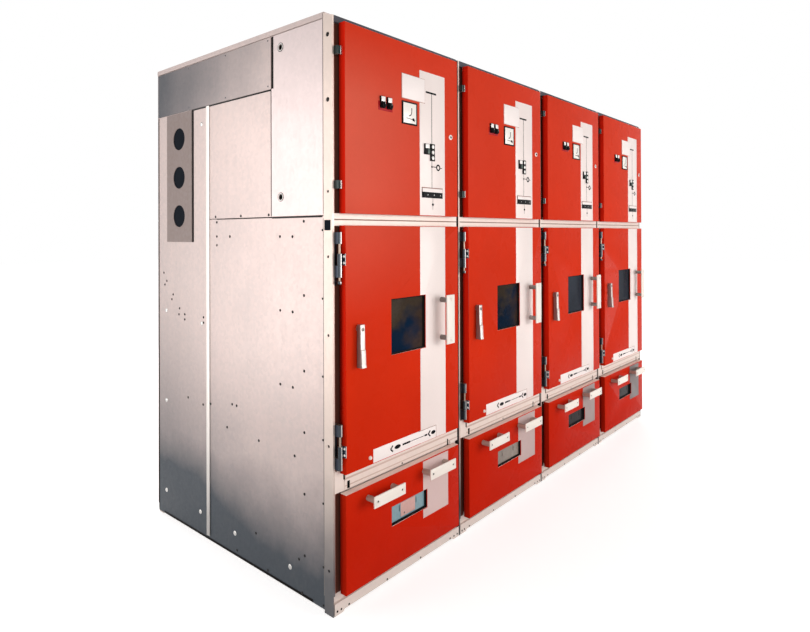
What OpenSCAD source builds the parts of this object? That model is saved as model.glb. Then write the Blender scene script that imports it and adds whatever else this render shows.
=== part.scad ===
// Row of four medium voltage switchgear cubicles: galvanised sheet-steel bodies with
// enamelled instrument doors, hinged breaker doors and lift-off cable covers.
// X runs along the row, Y from the doors to the back, Z up. Millimetres.

/* [Row] */
// Width of one cubicle, from one partition to the next
cubicle_w = 800; // [760:10:1000]
// Height of the row, floor to roof
row_h = 2265; // [2150:5:2700]
// Depth of the bodies, from the front frame's face to the rear covers
row_d = 1330; // [1280:10:1700]
// Thickness of the galvanised sheets
sheet = 2.5; // [1.5:0.5:3]
// Air gap between the bodies of two neighbouring cubicles
body_gap = 17; // [12:1:25]
// Distance from the front frame's face to the roof's front edge
roof_y = 45; // [30:1:50]
// Distance from the roof's top down to the front frame's top
front_drop = 20; // [15:1:30]

/* [Front bands] */
// Height of the base rails
base_h = 45; // [40:1:80]
// Height of the feet under the base rails
foot_h = 8; // [4:1:15]
// Length of each foot along the row
foot_len = 51; // [45:1:80]
// Space between the base rail and the cable cover
cover_clear = 31; // [20:1:60]
// Height of the cable cover
cover_h = 374; // [340:2:420]
// Height of the lower rail that shows between cable cover and breaker door
lower_rail_h = 76; // [60:2:100]
// Height of the breaker door
breaker_door_h = 931; // [850:1:1000]
// Height of the upper rail that shows between breaker door and instrument door
upper_rail_h = 45; // [40:1:70]
// Distance from the instrument door's top to the roof's top
door_top_gap = 44; // [40:1:60]
// Thickness of the rails, from their face back to the jambs
rail_t = 12; // [8:1:20]

/* [Doors] */
// Distance from the cubicle's left face to the doors' left edge
door_left = 35; // [34:1:45]
// Distance from the doors' right edge to the next cubicle
door_right = 52; // [45:1:70]
// Depth of the folded door pans, face to rear edge
pan_d = 32; // [30:1:45]
// Thickness of the door sheet
door_t = 2.5; // [1.5:0.5:3]
// Width of the stiffening frame inside a door
stiffener_w = 15; // [12:1:25]
// Distance of the stiffening frame from the door's edges
stiffener_inset = 15; // [13:1:25]
// Space between a door pan's rear edge and the frame's face
door_seat = 1; // [0.5:0.5:3]

/* [Heavy hinges] */
// Distance of the hinge axis from the cubicle's left face
hinge_x = 19; // [19:0.5:22]
// Distance of the hinge axis in front of the frame's face
hinge_out = 18; // [16:0.5:22]
// Radius of the hinge knuckles
knuckle_r = 9; // [8:0.5:9]
// Radius of the hinge pins
hinge_pin_r = 4.5; // [4:0.5:5]
// Radial clearance of the door knuckles on their pins
pin_clear = 0.08; // [0.05:0.01:0.1]
// Height of each hinge knuckle
knuckle_h = 44; // [36:1:50]
// Length of bare pin above the door's knuckle, for lifting the door off
lift_h = 37; // [25:1:45]
// Distance from the breaker door's top to the upper hinge's top
hinge_top_inset = 25; // [20:1:60]
// Distance from the breaker door's bottom to the lower hinge's bottom
hinge_bottom_inset = 20; // [20:1:60]

/* [Small hinges] */
// Height of the instrument door hinges
small_hinge_h = 31; // [24:1:40]
// Distance of the instrument door hinges' middles from the door's ends
small_hinge_inset = 108; // [60:1:160]

/* [Breaker door fittings] */
// Width of the window's opening
window_w = 218; // [180:2:260]
// Height of the window's opening
window_h = 226; // [180:2:260]
// Distance from the door's left edge to the window's opening
window_x = 255; // [240:5:270]
// Distance from the door's bottom to the window's opening
window_z = 408; // [380:2:430]
// Depth of the collars around the windows
collar_d = 13; // [10:1:18]
// Thickness of the window glass
glass_t = 6; // [4:1:8]
// Lap of the glass and of the cable window plates behind their collars
pane_lap = 12; // [8:1:20]
// Stand-off of the handles' faces from the doors
handle_reach = 55; // [45:1:80]
// Thickness of the handle plates
handle_t = 5; // [4:1:8]
// Radius of the handle posts
post_r = 11.5; // [9:0.5:14]
// Width of the pull handle plate
pull_w = 56; // [45:1:70]
// Length of the pull handle plate
pull_len = 215; // [190:5:240]
// Spacing of the pull handle's posts
pull_posts = 167; // [140:1:180]
// Distance from the door's left edge to the pull handle's middle line
pull_x = 585; // [560:5:620]
// Distance from the door's bottom to the pull handle's middle
pull_z = 521; // [480:1:560]
// Width of the lever handle
lever_w = 24; // [20:1:30]
// Length of the lever handle
lever_len = 163; // [140:1:190]
// Distance from the door's left edge to the lever's middle line
lever_x = 65; // [60:1:90]
// Distance from the door's bottom to the lever's top
lever_top = 555; // [520:1:600]
// Space between the lever's grip and the door
lever_clear = 5.5; // [5:0.5:8]

/* [Cable cover fittings] */
// Width of the cable window's opening
cable_window_w = 226; // [180:2:260]
// Height of the cable window's opening
cable_window_h = 78; // [60:2:100]
// Distance from the cover's left edge to the cable window's opening
cable_window_x = 254; // [240:2:270]
// Distance from the cover's bottom to the cable window's opening
cable_window_z = 166; // [140:2:180]
// Length of the cover handle plates
grip_len = 180; // [160:5:200]
// Width of the cover handle plates
grip_w = 44; // [36:1:50]
// Spacing of the cover handles' posts
grip_posts = 140; // [110:1:150]
// Distance from the cover's left edge to the left handle's middle
grip_x = 186; // [160:2:200]
// Spacing of the two cover handles
grip_spacing = 342; // [320:2:360]
// Distance from the cover's bottom to the handles' middle line
grip_z = 329; // [300:1:335]

/* [Instruments] */
// Side of the square meter
meter_w = 96; // [72:24:96]
// How far the meter stands out
meter_out = 5; // [4:1:20]
// Distance from the door's left edge to the meter's middle
meter_x = 370; // [360:1:380]
// Distance from the door's top to the meter's middle
meter_drop = 291; // [270:1:310]
// Width of the label plate
label_w = 149; // [120:1:160]
// Height of the label plate
label_h = 101; // [80:1:102]
// Thickness of the label plate
label_t = 3; // [2:0.5:8]
// Space between the label plate and the meter under it
label_gap = 12; // [6:1:20]
// Width of a selector switch plate
selector_w = 26; // [24:1:38]
// Height of a selector switch plate
selector_h = 47; // [44:1:60]
// Spacing of the two selector switches
selector_pitch = 40; // [40:1:60]
// Distance from the door's left edge to the left selector switch's middle
selector_x = 202; // [150:1:220]
// Width of the control switch
control_w = 33; // [30:1:36]
// Height of the control switch
control_h = 46; // [40:1:60]
// Width of the position indicator
indicator_w = 26; // [22:1:36]
// Height of the position indicator
indicator_h = 74; // [60:1:90]
// Distance from the door's left edge to the line between control switch and indicator
indicator_x = 504; // [500:1:515]
// Distance from the door's top to the top of control switch and indicator
indicator_drop = 404; // [390:1:430]
// Width of the annunciator
annunciator_w = 144; // [100:2:150]
// Height of the annunciator
annunciator_h = 45; // [30:1:50]
// Distance from the door's left edge to the annunciator's middle
annunciator_x = 523; // [515:1:535]
// Distance from the door's bottom to the annunciator's middle
annunciator_z = 101; // [80:1:120]
// Radius of the door lock's face
lock_r = 11.5; // [8:0.5:14]
// Distance from the instrument door's left edge to the lock
lock_x = 658; // [640:1:680]
// Distance from the instrument door's top to the lock
lock_drop = 358; // [300:1:420]

/* [End walls] */
// Depth of the front columns at the row's ends
column_d = 49; // [40:1:60]
// Width of a column's front lip
column_lip = 9; // [7:1:9]
// Distance from the frame's face to the instrument box cover's rear edge
box_plate_d = 371; // [340:1:400]
// Distance from the frame's face to the raised seam
fold_y = 845; // [800:5:870]
// Width of the raised seam
fold_w = 25; // [18:1:35]
// Height of the seam between lower and upper end sheets
mid_seam_z = 1495; // [1460:5:1510]
// Height of the duct cover's lower edge
duct_z = 2025; // [2000:5:2060]
// Distance from the frame's face to the busbar plate
busbar_y = 1000; // [960:5:1040]
// Width of the busbar plate
busbar_w = 237; // [200:1:250]
// Height of the busbar plate
busbar_h = 634; // [580:2:660]
// Radius of the busbar openings
busbar_r = 54; // [45:1:60]
// Spacing of the busbar openings
busbar_pitch = 190; // [170:5:200]
// Height of the roof's side lip
roof_lip = 22; // [18:1:40]

/* [Compartments] */
// Depth of the breaker compartment
breaker_d = 860; // [800:10:900]
// Radius of the foundation bolt holes
foundation_r = 7; // [5:0.5:9]
// Distance of the foundation bolt holes from the base's edges
foundation_inset = 25; // [20:1:30]

/* [Hidden] */
$fn = 48;
cubicles = 4;
row_len = cubicles * cubicle_w;
seam = 1.5;           // half the joint between two neighbouring plates
fit = 0.3;            // clearance of pieces that seat on each other
lip_t = 2;            // thickness of the roof's folded lip
cover_x = lip_t;      // outer face of the cover plates on an end wall
inner_x = cover_x + sheet;  // outer face of the sheets behind them
wall_in = inner_x + sheet;  // inner face of an end wall
bar_w = 40;           // width of the base bars
rail_lap = 1;         // how far a rail runs behind a door's edge
strip_w = 35;         // width of the frame strips behind a door's edge

// Heights of the front bands
cover_z = base_h + cover_clear;
lower_rail_z = cover_z + cover_h;
breaker_z = lower_rail_z + lower_rail_h;
upper_rail_z = breaker_z + breaker_door_h;
instrument_z = upper_rail_z + upper_rail_h;
instrument_top = row_h - door_top_gap;
instrument_door_h = instrument_top - instrument_z;
body_top = row_h - sheet;
frame_top = row_h - front_drop;

// Front frame
door_w = cubicle_w - door_left - door_right;
door_face = door_seat + pan_d;      // doors' faces, in front of the frame
jamb_x0 = column_lip + fit;
jamb_x1 = door_left + strip_w;
jamb_x2 = cubicle_w - door_right - strip_w;
jamb_x3 = cubicle_w - body_gap;
frame_back = rail_t + sheet;
front_reach = door_face + handle_reach;

// Compartments
floor_z = base_h + sheet;
room_x1 = cubicle_w - body_gap - sheet - fit;
shelf_low = lower_rail_z + lower_rail_h / 2;
shelf_high = upper_rail_z + upper_rail_h / 2;

// Heavy hinges: frame knuckle, bare pin, door knuckle, frame knuckle
hinge_h = 3 * knuckle_h + lift_h;
hinge_tops = [upper_rail_z - hinge_top_inset, breaker_z + hinge_bottom_inset + hinge_h];
hinge_tails = [32, 4];
hinge_y = -hinge_out;
knuckle_gap = 0.4;

// Lever handle: profile of the grip, out from the door, and its pivot
lever_depth_top = 25;
lever_depth_end = 35;
lever_step = 94;
lever_pivot_drop = 16;
lever_boss_r = 12;
lever_z = breaker_z + lever_top;

// Instruments
switch_t = 8;
switch_gap = 4.5;     // from the line between the two switches to either of them
plate_t = 3;          // thickness of the annunciator's plate
lamp_h = 25;          // height of the annunciator's lamp block
lamp_t = 6;           // its thickness, plate included
knob_r = 11;
knob_out = 16;

// Corners of the end plates
busbar_top = duct_z - 2 * seam;
plate_top = row_h - roof_lip - 2 * seam;
duct_joint = 4.5;     // joint between instrument box cover and duct cover
cap_lap = 7;
cap_t = 6;

galvanised = "lightgrey";
enamel = "orangered";
cream = "ivory";
black = "dimgray";

// ---- Placement -----------------------------------------------------------------

// Puts the row's middle over the origin, handles included
module placed() {
  translate([-row_len / 2, -(row_d - front_reach) / 2, 0]) children();
}

// Repeats something in every cubicle
module each_cubicle() {
  for (k = [0 : cubicles - 1])
    translate([k * cubicle_w, 0, 0]) children();
}

// Puts something into cubicle number k, counted from 1
module in_cubicle(k) {
  placed() translate([(k - 1) * cubicle_w, 0, 0]) children();
}

// Repeats something at the left end and, mirrored, at the right end
module both_ends() {
  children();
  translate([row_len, 0, 0]) mirror([1, 0, 0]) children();
}

// A block between two opposite corners
module block(low, high) {
  translate(low) cube(high - low);
}

// ---- Base, floor and roof ------------------------------------------------------

// Bar across the cubicle's front or back, on a foot at each end
module base_bar() {
  left = wall_in;
  right = cubicle_w - wall_in;
  foot_end = left + foot_len;
  foot_start = right - foot_len;
  difference() {
    translate([0, bar_w, 0]) rotate([90, 0, 0])
      linear_extrude(bar_w)
        polygon([[left, 0], [foot_end - foot_h, 0], [foot_end, foot_h],
                 [foot_start, foot_h], [foot_start + foot_h, 0], [right, 0],
                 [right, base_h], [left, base_h]]);
    for (x = [left + foundation_inset, right - foundation_inset])
      translate([x, foundation_inset, -1]) cylinder(r = foundation_r, h = base_h + 2);
  }
}

module base_rails() {
  color(galvanised) placed() each_cubicle() {
    base_bar();
    translate([0, row_d - sheet, 0]) mirror([0, 1, 0]) base_bar();
  }
}

module base_side_rails() {
  color(galvanised) placed() each_cubicle()
    for (x = [wall_in, cubicle_w - wall_in - bar_w])
      block([x, bar_w, foot_h], [x + bar_w, row_d - sheet - bar_w, base_h]);
}

module floor_plates() {
  color(galvanised) placed() each_cubicle()
    block([wall_in, frame_back, base_h], [room_x1, row_d - sheet, floor_z]);
}

// Roof plate of one cubicle with its folded front lip
module roof_plate() {
  lip_x = sheet + fit;
  block([fit, roof_y, body_top], [cubicle_w - fit, row_d, row_h]);
  block([lip_x, roof_y, frame_top], [cubicle_w - lip_x, roof_y + lip_t, row_h]);
}

// Leaves out what would stand in front of the roof, above the front frame
module behind_roof_edge() {
  difference() {
    children();
    block([-1, -1, frame_top - sheet], [row_len + 1, roof_y + lip_t + fit, row_h + 1]);
  }
}

// Lip folded down over an end wall
module roof_side_lip() {
  block([0, column_d + 2 * seam, row_h - roof_lip], [lip_t, row_d, row_h]);
}

module roof_plates() {
  color(galvanised) placed() {
    each_cubicle() roof_plate();
    both_ends() roof_side_lip();
  }
}

// ---- Bodies --------------------------------------------------------------------

// Inner side sheets: a left one behind every inner front post, a right one in every body
module side_walls() {
  x = cubicle_w - body_gap - sheet;
  color(galvanised) placed() behind_roof_edge() {
    for (k = [1 : cubicles - 1])
      translate([k * cubicle_w, 0, 0])
        block([0, column_d, base_h], [sheet, row_d - sheet, body_top]);
    each_cubicle()
      block([x, frame_back, base_h], [x + sheet, row_d - sheet, body_top]);
  }
}

// Wall between the breaker compartment and the busbar and cable compartments
module inner_walls() {
  color(galvanised) placed() each_cubicle()
    block([wall_in, breaker_d, floor_z], [room_x1, breaker_d + sheet, body_top]);
}

// Floor and ceiling of the breaker compartment
module compartment_shelves() {
  color(galvanised) placed() each_cubicle()
    for (z = [shelf_low, shelf_high])
      block([wall_in, frame_back, z], [room_x1, breaker_d, z + sheet]);
}

module rear_covers() {
  x0 = lip_t + fit;
  x1 = cubicle_w - x0;
  color(galvanised) placed() each_cubicle() {
    block([x0, row_d - sheet, base_h], [x1, row_d, mid_seam_z - seam]);
    block([x0, row_d - sheet, mid_seam_z + seam], [x1, row_d, body_top]);
  }
}

// ---- Front frame ---------------------------------------------------------------

// Folded front post: side strip, narrow front lip and its return to the jamb
module front_post() {
  difference() {
    linear_extrude(frame_top)
      polygon([[0, 0], [column_lip, 0], [column_lip, rail_t], [column_lip - sheet, rail_t],
               [column_lip - sheet, sheet], [sheet, sheet], [sheet, column_d], [0, column_d]]);
    block([sheet, -1, -1], [column_lip + 1, column_d, cover_z]);
    if ($children > 0) children();
  }
}

// Slot for the upper rail's end in an end column
module column_slot(clear = 0) {
  block([-1, 10 - clear, upper_rail_z - 18 - clear],
        [sheet + 1, 45 + clear, upper_rail_z + 21 + clear]);
}

// Tip of an end column's side strip, rising to the roof
module column_tip() {
  rotate([90, 0, 90])
    linear_extrude(sheet)
      polygon([[12, frame_top - 1], [column_d, frame_top - 1], [column_d, body_top - fit],
               [15, frame_top + 1]]);
}

module front_posts() {
  color(galvanised) placed() {
    both_ends() {
      front_post() column_slot(fit);
      column_tip();
    }
    for (k = [1 : cubicles - 1])
      translate([k * cubicle_w, 0, 0]) front_post();
  }
}

module column_plugs() {
  color(black) placed() both_ends()
    intersection() {
      column_slot();
      block([0.5, 0, 0], [sheet, column_d, row_h]);
    }
}

// Flat frame behind the doors: two jambs and the crossmembers between them
module door_frames() {
  bands = [[base_h, cover_z + strip_w],
           [lower_rail_z - strip_w, breaker_z + strip_w],
           [upper_rail_z - strip_w, instrument_z + strip_w],
           [instrument_top - strip_w, frame_top - sheet]];
  color(galvanised) placed() each_cubicle() {
    block([jamb_x0, rail_t, base_h], [jamb_x1, frame_back, frame_top - sheet]);
    block([jamb_x2, rail_t, base_h], [jamb_x3, frame_back, frame_top - sheet]);
    for (band = bands)
      block([jamb_x1 + fit, rail_t, band[0]], [jamb_x2 - fit, frame_back, band[1]]);
  }
}

// Head rail with its flange back to the roof's front lip
module head_rails() {
  color(galvanised) placed() each_cubicle() {
    block([jamb_x0, 0, instrument_top - rail_lap], [jamb_x3, rail_t, frame_top]);
    block([sheet + fit, rail_t, frame_top - sheet], [jamb_x3, roof_y + lip_t, frame_top]);
  }
}

// Upper rail: two strips with a groove between them
module upper_rails() {
  groove = 2;
  z0 = upper_rail_z - rail_lap;
  z1 = instrument_z + rail_lap;
  color(galvanised) placed() each_cubicle()
    difference() {
      block([jamb_x0, 0, z0], [jamb_x3, rail_t, z1]);
      block([jamb_x0 - 1, -1, shelf_high - groove / 2], [jamb_x3 + 1, groove, shelf_high + groove / 2]);
    }
}

// Right edge of the plate that closes the recess beside the lower rail
recess_plate_x = 56;

// Lower rail with its slots, its foot set back above the cable cover, and, left of it,
// the plate that closes the hinge recess
module lower_rails() {
  x0 = recess_plate_x + 1.5;
  slot_z = lower_rail_z + 41;
  foot = 5;
  step = lower_rail_z + 19;
  color(galvanised) placed() each_cubicle() {
    difference() {
      block([x0, 0, lower_rail_z - rail_lap], [jamb_x3, rail_t, breaker_z + rail_lap]);
      block([x0 - 1, -1, slot_z], [x0 + 5, rail_t + 1, slot_z + 24]);
      block([x0 - 1, -1, lower_rail_z - 2], [jamb_x3 + 1, 8, lower_rail_z + foot]);
      block([x0 - 1, -1, step], [jamb_x3 + 1, 1.5, step + 2]);
      for (x = [x0 + 19, door_left + door_w - 28])
        block([x, -1, lower_rail_z + foot - 1], [x + 8, rail_t + 1, step - 2]);
    }
    block([jamb_x0, 0, lower_rail_z + 5], [recess_plate_x, rail_t, breaker_z + 11]);
  }
}

// ---- End walls -----------------------------------------------------------------

// Axis of every busbar opening in an end wall
module busbar_axes() {
  for (i = [-1 : 1])
    translate([0, busbar_y + busbar_w / 2, busbar_top - busbar_h / 2 + i * busbar_pitch])
      rotate([0, 90, 0]) children();
}

// Axis of the two lifting holes of an instrument box
module lifting_axes() {
  for (z = [mid_seam_z + 81, row_h - 80])
    translate([0, box_plate_d - 60, z]) rotate([0, 90, 0]) children();
}

// Lower, middle and rear sheet of an end wall
module end_wall_sheets() {
  fold_mid = fold_y + fold_w / 2;
  color(galvanised) placed() both_ends() behind_roof_edge() {
    block([inner_x, frame_back, foot_h], [wall_in, fold_mid, mid_seam_z - seam]);
    difference() {
      block([inner_x, frame_back, mid_seam_z + seam], [wall_in, fold_mid, body_top]);
      lifting_axes() cylinder(r = 12, h = wall_in + 1);
    }
    difference() {
      block([inner_x, fold_mid + 2 * seam, foot_h], [wall_in, row_d - sheet, body_top]);
      busbar_axes() cylinder(r = busbar_r + cap_lap + fit, h = wall_in + 1);
    }
  }
}

module end_fold_strips() {
  color(galvanised) placed() both_ends()
    block([0, fold_y, foot_h + 20], [inner_x, fold_y + fold_w, duct_z - 2 * seam]);
}

// Cover of the instrument box with its two lifting holes
module end_box_plates() {
  color(galvanised) placed() both_ends()
    difference() {
      block([cover_x, column_d + 2 * seam, mid_seam_z + 2 * seam], [inner_x, box_plate_d, plate_top]);
      lifting_axes() cylinder(r = 12, h = wall_in + 1);
    }
}

module end_duct_covers() {
  color(galvanised) placed() both_ends()
    block([cover_x, box_plate_d + duct_joint, duct_z], [inner_x, row_d - sheet, plate_top]);
}

module end_busbar_plates() {
  color(galvanised) placed() both_ends()
    difference() {
      block([cover_x, busbar_y, busbar_top - busbar_h], [inner_x, busbar_y + busbar_w, busbar_top]);
      busbar_axes() cylinder(r = busbar_r, h = wall_in + 1);
    }
}

module end_busbar_caps() {
  color(black) placed() both_ends()
    busbar_axes() translate([0, 0, inner_x]) cylinder(r = busbar_r + cap_lap, h = cap_t);
}

// ---- Doors and covers ----------------------------------------------------------

// Rectangular ring, w by h outside, with walls of one thickness, standing along Y
module box_ring(x, z, w, h, wall, y0, y1) {
  difference() {
    block([x, y0, z], [x + w, y1, z + h]);
    block([x + wall, y0 - 1, z + wall], [x + w - wall, y1 + 1, z + h - wall]);
  }
}

// Folded pan with a stiffening frame that seats on the front frame.
// hole = [x, z, w, h] of a window from the pan's lower left corner, or []
module door_pan(z0, h, hole = []) {
  y0 = -door_face;
  translate([door_left, 0, z0])
    difference() {
      union() {
        difference() {
          block([0, y0, 0], [door_w, -door_seat, h]);
          block([door_t, y0 + door_t, door_t], [door_w - door_t, 0, h - door_t]);
        }
        box_ring(stiffener_inset, stiffener_inset, door_w - 2 * stiffener_inset,
                 h - 2 * stiffener_inset, stiffener_w, y0 + door_t / 2, rail_t - fit);
        if (len(hole) > 0)
          block([hole[0] - door_t, y0, hole[1] - door_t],
                [hole[0] + hole[2] + door_t, y0 + collar_d, hole[1] + hole[3] + door_t]);
      }
      if (len(hole) > 0)
        block([hole[0], y0 - 1, hole[1]], [hole[0] + hole[2], y0 + collar_d + 1, hole[1] + hole[3]]);
    }
}

// Pane behind a window's collar
module pane(z0, hole, thickness) {
  y = -door_face + collar_d;
  block([door_left + hole[0] - pane_lap, y, z0 + hole[1] - pane_lap],
        [door_left + hole[0] + hole[2] + pane_lap, y + thickness, z0 + hole[1] + hole[3] + pane_lap]);
}

// Flat plate on two round posts. The plate lies on the XZ plane, the posts along +Y
module plate_handle(w, h, dx, dz) {
  block([-w / 2, 0, -h / 2], [w / 2, handle_t, h / 2]);
  for (s = [-1, 1])
    translate([s * dx / 2, handle_t / 2, s * dz / 2]) rotate([-90, 0, 0])
      cylinder(r = post_r, h = handle_reach - handle_t / 2);
}

window_hole = [window_x, window_z, window_w, window_h];
cable_hole = [cable_window_x, cable_window_z, cable_window_w, cable_window_h];

module instrument_doors() {
  color(enamel) placed() each_cubicle() door_pan(instrument_z, instrument_door_h);
}

module cable_covers() {
  color(enamel) placed() each_cubicle() door_pan(cover_z, cover_h, cable_hole);
}

module cable_cover_handles() {
  color(cream) placed() each_cubicle()
    for (x = [grip_x, grip_x + grip_spacing])
      translate([door_left + x, -front_reach, cover_z + grip_z])
        plate_handle(grip_len, grip_w, grip_posts, 0);
}

// Plate behind the cable window with its two upright slots
module cable_windows() {
  color("lightblue") placed() each_cubicle()
    difference() {
      pane(cover_z, cable_hole, sheet);
      for (s = [-1, 1])
        translate([door_left + cable_window_x + cable_window_w / 2 + s * 54, 0,
                   cover_z + cable_window_z + cable_window_h / 2 + 10])
          block([-2.5, -door_face, -13], [2.5, 0, 13]);
    }
}

// Door half of a heavy hinge: knuckle, arm and the plate on the door's flank
module door_knuckle(z_top) {
  z1 = z_top - knuckle_h - lift_h;
  z0 = z1 - knuckle_h + knuckle_gap;
  arm = 4;
  difference() {
    union() {
      translate([hinge_x, hinge_y, z0]) cylinder(r = knuckle_r, h = z1 - z0);
      block([hinge_x, hinge_y - arm, z0], [door_left - 1.5, hinge_y + arm, z1]);
      block([door_left - 3, -door_face - 2, z0], [door_left, -door_seat - 2, z1]);
    }
    translate([hinge_x, hinge_y, z0 - 1]) cylinder(r = hinge_pin_r + pin_clear, h = z1 - z0 + 2);
  }
}

module breaker_door(k) {
  color(enamel) in_cubicle(k) {
    door_pan(breaker_z, breaker_door_h, window_hole);
    for (z = hinge_tops) door_knuckle(z);
  }
}

module door_window(k) {
  color("darkslategray") in_cubicle(k) pane(breaker_z, window_hole, glass_t);
}

module pull_handle(k) {
  color(cream) in_cubicle(k)
    translate([door_left + pull_x, -front_reach, breaker_z + pull_z])
      plate_handle(pull_w, pull_len, 0, pull_posts);
}

// Lever handle: boss on the door and a grip that steps out towards its end
module lever(k) {
  x = door_left + lever_x - lever_w / 2;
  out = -door_face;
  end = -lever_len;
  color("silver") in_cubicle(k) {
    translate([x, 0, lever_z]) rotate([90, 0, 90])
      linear_extrude(lever_w)
        polygon([[out - lever_clear, 0], [out - lever_depth_top, 0],
                 [out - lever_depth_top - 2, -lever_step], [out - lever_depth_top - 5, -lever_step - 3],
                 [out - lever_depth_end + 3, end + 12], [out - lever_depth_end, end],
                 [out - lever_clear, end]]);
    translate([x + lever_w / 2, out - lever_clear - 1, lever_z - lever_pivot_drop])
      rotate([-90, 0, 0]) cylinder(r = lever_boss_r, h = lever_clear + 1 - fit);
  }
}

// ---- Hinges on the frame -------------------------------------------------------

// Frame half of a heavy hinge: back plate with a tail, two ears and the pin through them
module frame_hinge(z_top, tail) {
  plate_t = 4;
  z0 = z_top - hinge_h;
  ear_x0 = hinge_x - knuckle_r;
  block([ear_x0, rail_t - plate_t, z0 - tail], [hinge_x + knuckle_r, rail_t, z_top]);
  for (z = [z0, z_top - knuckle_h]) {
    block([ear_x0, hinge_y, z], [hinge_x + knuckle_r, rail_t - plate_t, z + knuckle_h - knuckle_gap]);
    translate([hinge_x, hinge_y, z]) cylinder(r = knuckle_r, h = knuckle_h - knuckle_gap);
  }
  translate([hinge_x, hinge_y, z0 + 1]) cylinder(r = hinge_pin_r, h = hinge_h - 2);
}

module frame_hinges() {
  color("gray") placed() each_cubicle()
    for (i = [0, 1]) frame_hinge(hinge_tops[i], hinge_tails[i]);
}

// Closed block hinge of an instrument door
module small_hinges() {
  leaf_y = -17;
  color("gray") placed() each_cubicle()
    for (z = [instrument_z + small_hinge_inset, instrument_top - small_hinge_inset])
      translate([0, 0, z - small_hinge_h / 2]) {
        block([jamb_x0 + 1, leaf_y, 0], [door_left - 11, rail_t, small_hinge_h]);
        translate([door_left - 10, leaf_y, 0]) cylinder(r = 5, h = small_hinge_h);
        block([door_left - 10, leaf_y - 2, 0], [door_left, leaf_y + 2, small_hinge_h]);
      }
}

// ---- Instruments ---------------------------------------------------------------

// Moves to a place on the instrument doors' faces, x from the door's left edge
module on_instrument_door(x, z) {
  placed() each_cubicle() translate([door_left + x, -door_face, z]) children();
}

meter_z = instrument_top - meter_drop;

module meters() {
  color(black) on_instrument_door(meter_x, meter_z)
    difference() {
      block([-meter_w / 2, -meter_out, -meter_w / 2], [meter_w / 2, 0, meter_w / 2]);
      block([6 - meter_w / 2, -meter_out - 1, 6 - meter_w / 2], [meter_w / 2 - 6, 2 - meter_out, meter_w / 2 - 6]);
    }
}

module label_plates() {
  color(cream) on_instrument_door(meter_x - meter_w / 2, meter_z + meter_w / 2 + label_gap)
    block([0, -label_t, 0], [label_w, 0, label_h]);
}

module selector_switches() {
  color(black) on_instrument_door(selector_x, meter_z + 20)
    for (i = [0, 1])
      translate([i * selector_pitch, 0, 0]) {
        block([-selector_w / 2, -switch_t, -selector_h / 2], [selector_w / 2, 0, selector_h / 2]);
        translate([0, -switch_t + 1, -selector_h / 4]) rotate([90, 0, 0])
          cylinder(r = knob_r, h = knob_out - switch_t + 1);
      }
}

module control_switches() {
  x = indicator_x - switch_gap - control_w;
  color(black) on_instrument_door(x, instrument_top - indicator_drop - 2 - control_h)
    block([0, -switch_t, 0], [control_w, 0, control_h]);
}

module position_indicators() {
  color(black) on_instrument_door(indicator_x + switch_gap, instrument_top - indicator_drop - indicator_h)
    block([0, -switch_t, 0], [indicator_w, 0, indicator_h]);
}

// Annunciator: a plate with a block of lamps along its lower edge
module annunciators() {
  x = annunciator_w / 2;
  z = annunciator_h / 2;
  color(black) on_instrument_door(annunciator_x, instrument_z + annunciator_z) {
    block([-x, -plate_t, -z], [x, 0, z]);
    block([4.5 - x, -lamp_t, -z], [x - 4.5, 0, lamp_h - z]);
  }
}

module door_locks() {
  color("silver") on_instrument_door(lock_x, instrument_top - lock_drop)
    rotate([90, 0, 0]) cylinder(r = lock_r, h = 4);
}

// ---- Output --------------------------------------------------------------------

base_rails();
base_side_rails();
floor_plates();
roof_plates();
side_walls();
inner_walls();
compartment_shelves();
front_posts();
door_frames();
head_rails();
upper_rails();
lower_rails();
column_plugs();
end_wall_sheets();
end_fold_strips();
end_box_plates();
end_duct_covers();
end_busbar_plates();
end_busbar_caps();
rear_covers();
cable_covers();
cable_cover_handles();
cable_windows();
frame_hinges();
small_hinges();
instrument_doors();
meters();
label_plates();
selector_switches();
control_switches();
position_indicators();
annunciators();
door_locks();
breaker_door(1);  // breaker_door_1
breaker_door(2);  // breaker_door_2
breaker_door(3);  // breaker_door_3
breaker_door(4);  // breaker_door_4
door_window(1);  // door_window_1
door_window(2);  // door_window_2
door_window(3);  // door_window_3
door_window(4);  // door_window_4
pull_handle(1);  // pull_handle_1
pull_handle(2);  // pull_handle_2
pull_handle(3);  // pull_handle_3
pull_handle(4);  // pull_handle_4
lever(1);  // lever_1
lever(2);  // lever_2
lever(3);  // lever_3
lever(4);  // lever_4
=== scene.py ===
import math
from contextlib import contextmanager

import bpy
from mathutils import Matrix, Vector


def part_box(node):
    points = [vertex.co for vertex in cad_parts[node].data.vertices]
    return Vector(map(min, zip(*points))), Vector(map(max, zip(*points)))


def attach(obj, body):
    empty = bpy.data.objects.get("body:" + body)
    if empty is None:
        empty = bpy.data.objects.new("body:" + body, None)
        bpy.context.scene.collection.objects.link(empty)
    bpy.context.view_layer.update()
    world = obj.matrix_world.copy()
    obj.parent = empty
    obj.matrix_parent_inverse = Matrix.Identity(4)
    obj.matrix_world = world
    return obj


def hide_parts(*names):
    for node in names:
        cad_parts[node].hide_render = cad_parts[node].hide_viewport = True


bl_info = {
    "name": "Switchgear Row",
    "version": (1, 0, 0),
    "blender": (4, 5, 0),
    "location": "3D View > Sidebar > Switchgear",
    "description": "Finishes, instruments and fixings for a row of switchgear cubicles",
    "category": "Object",
}

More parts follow.
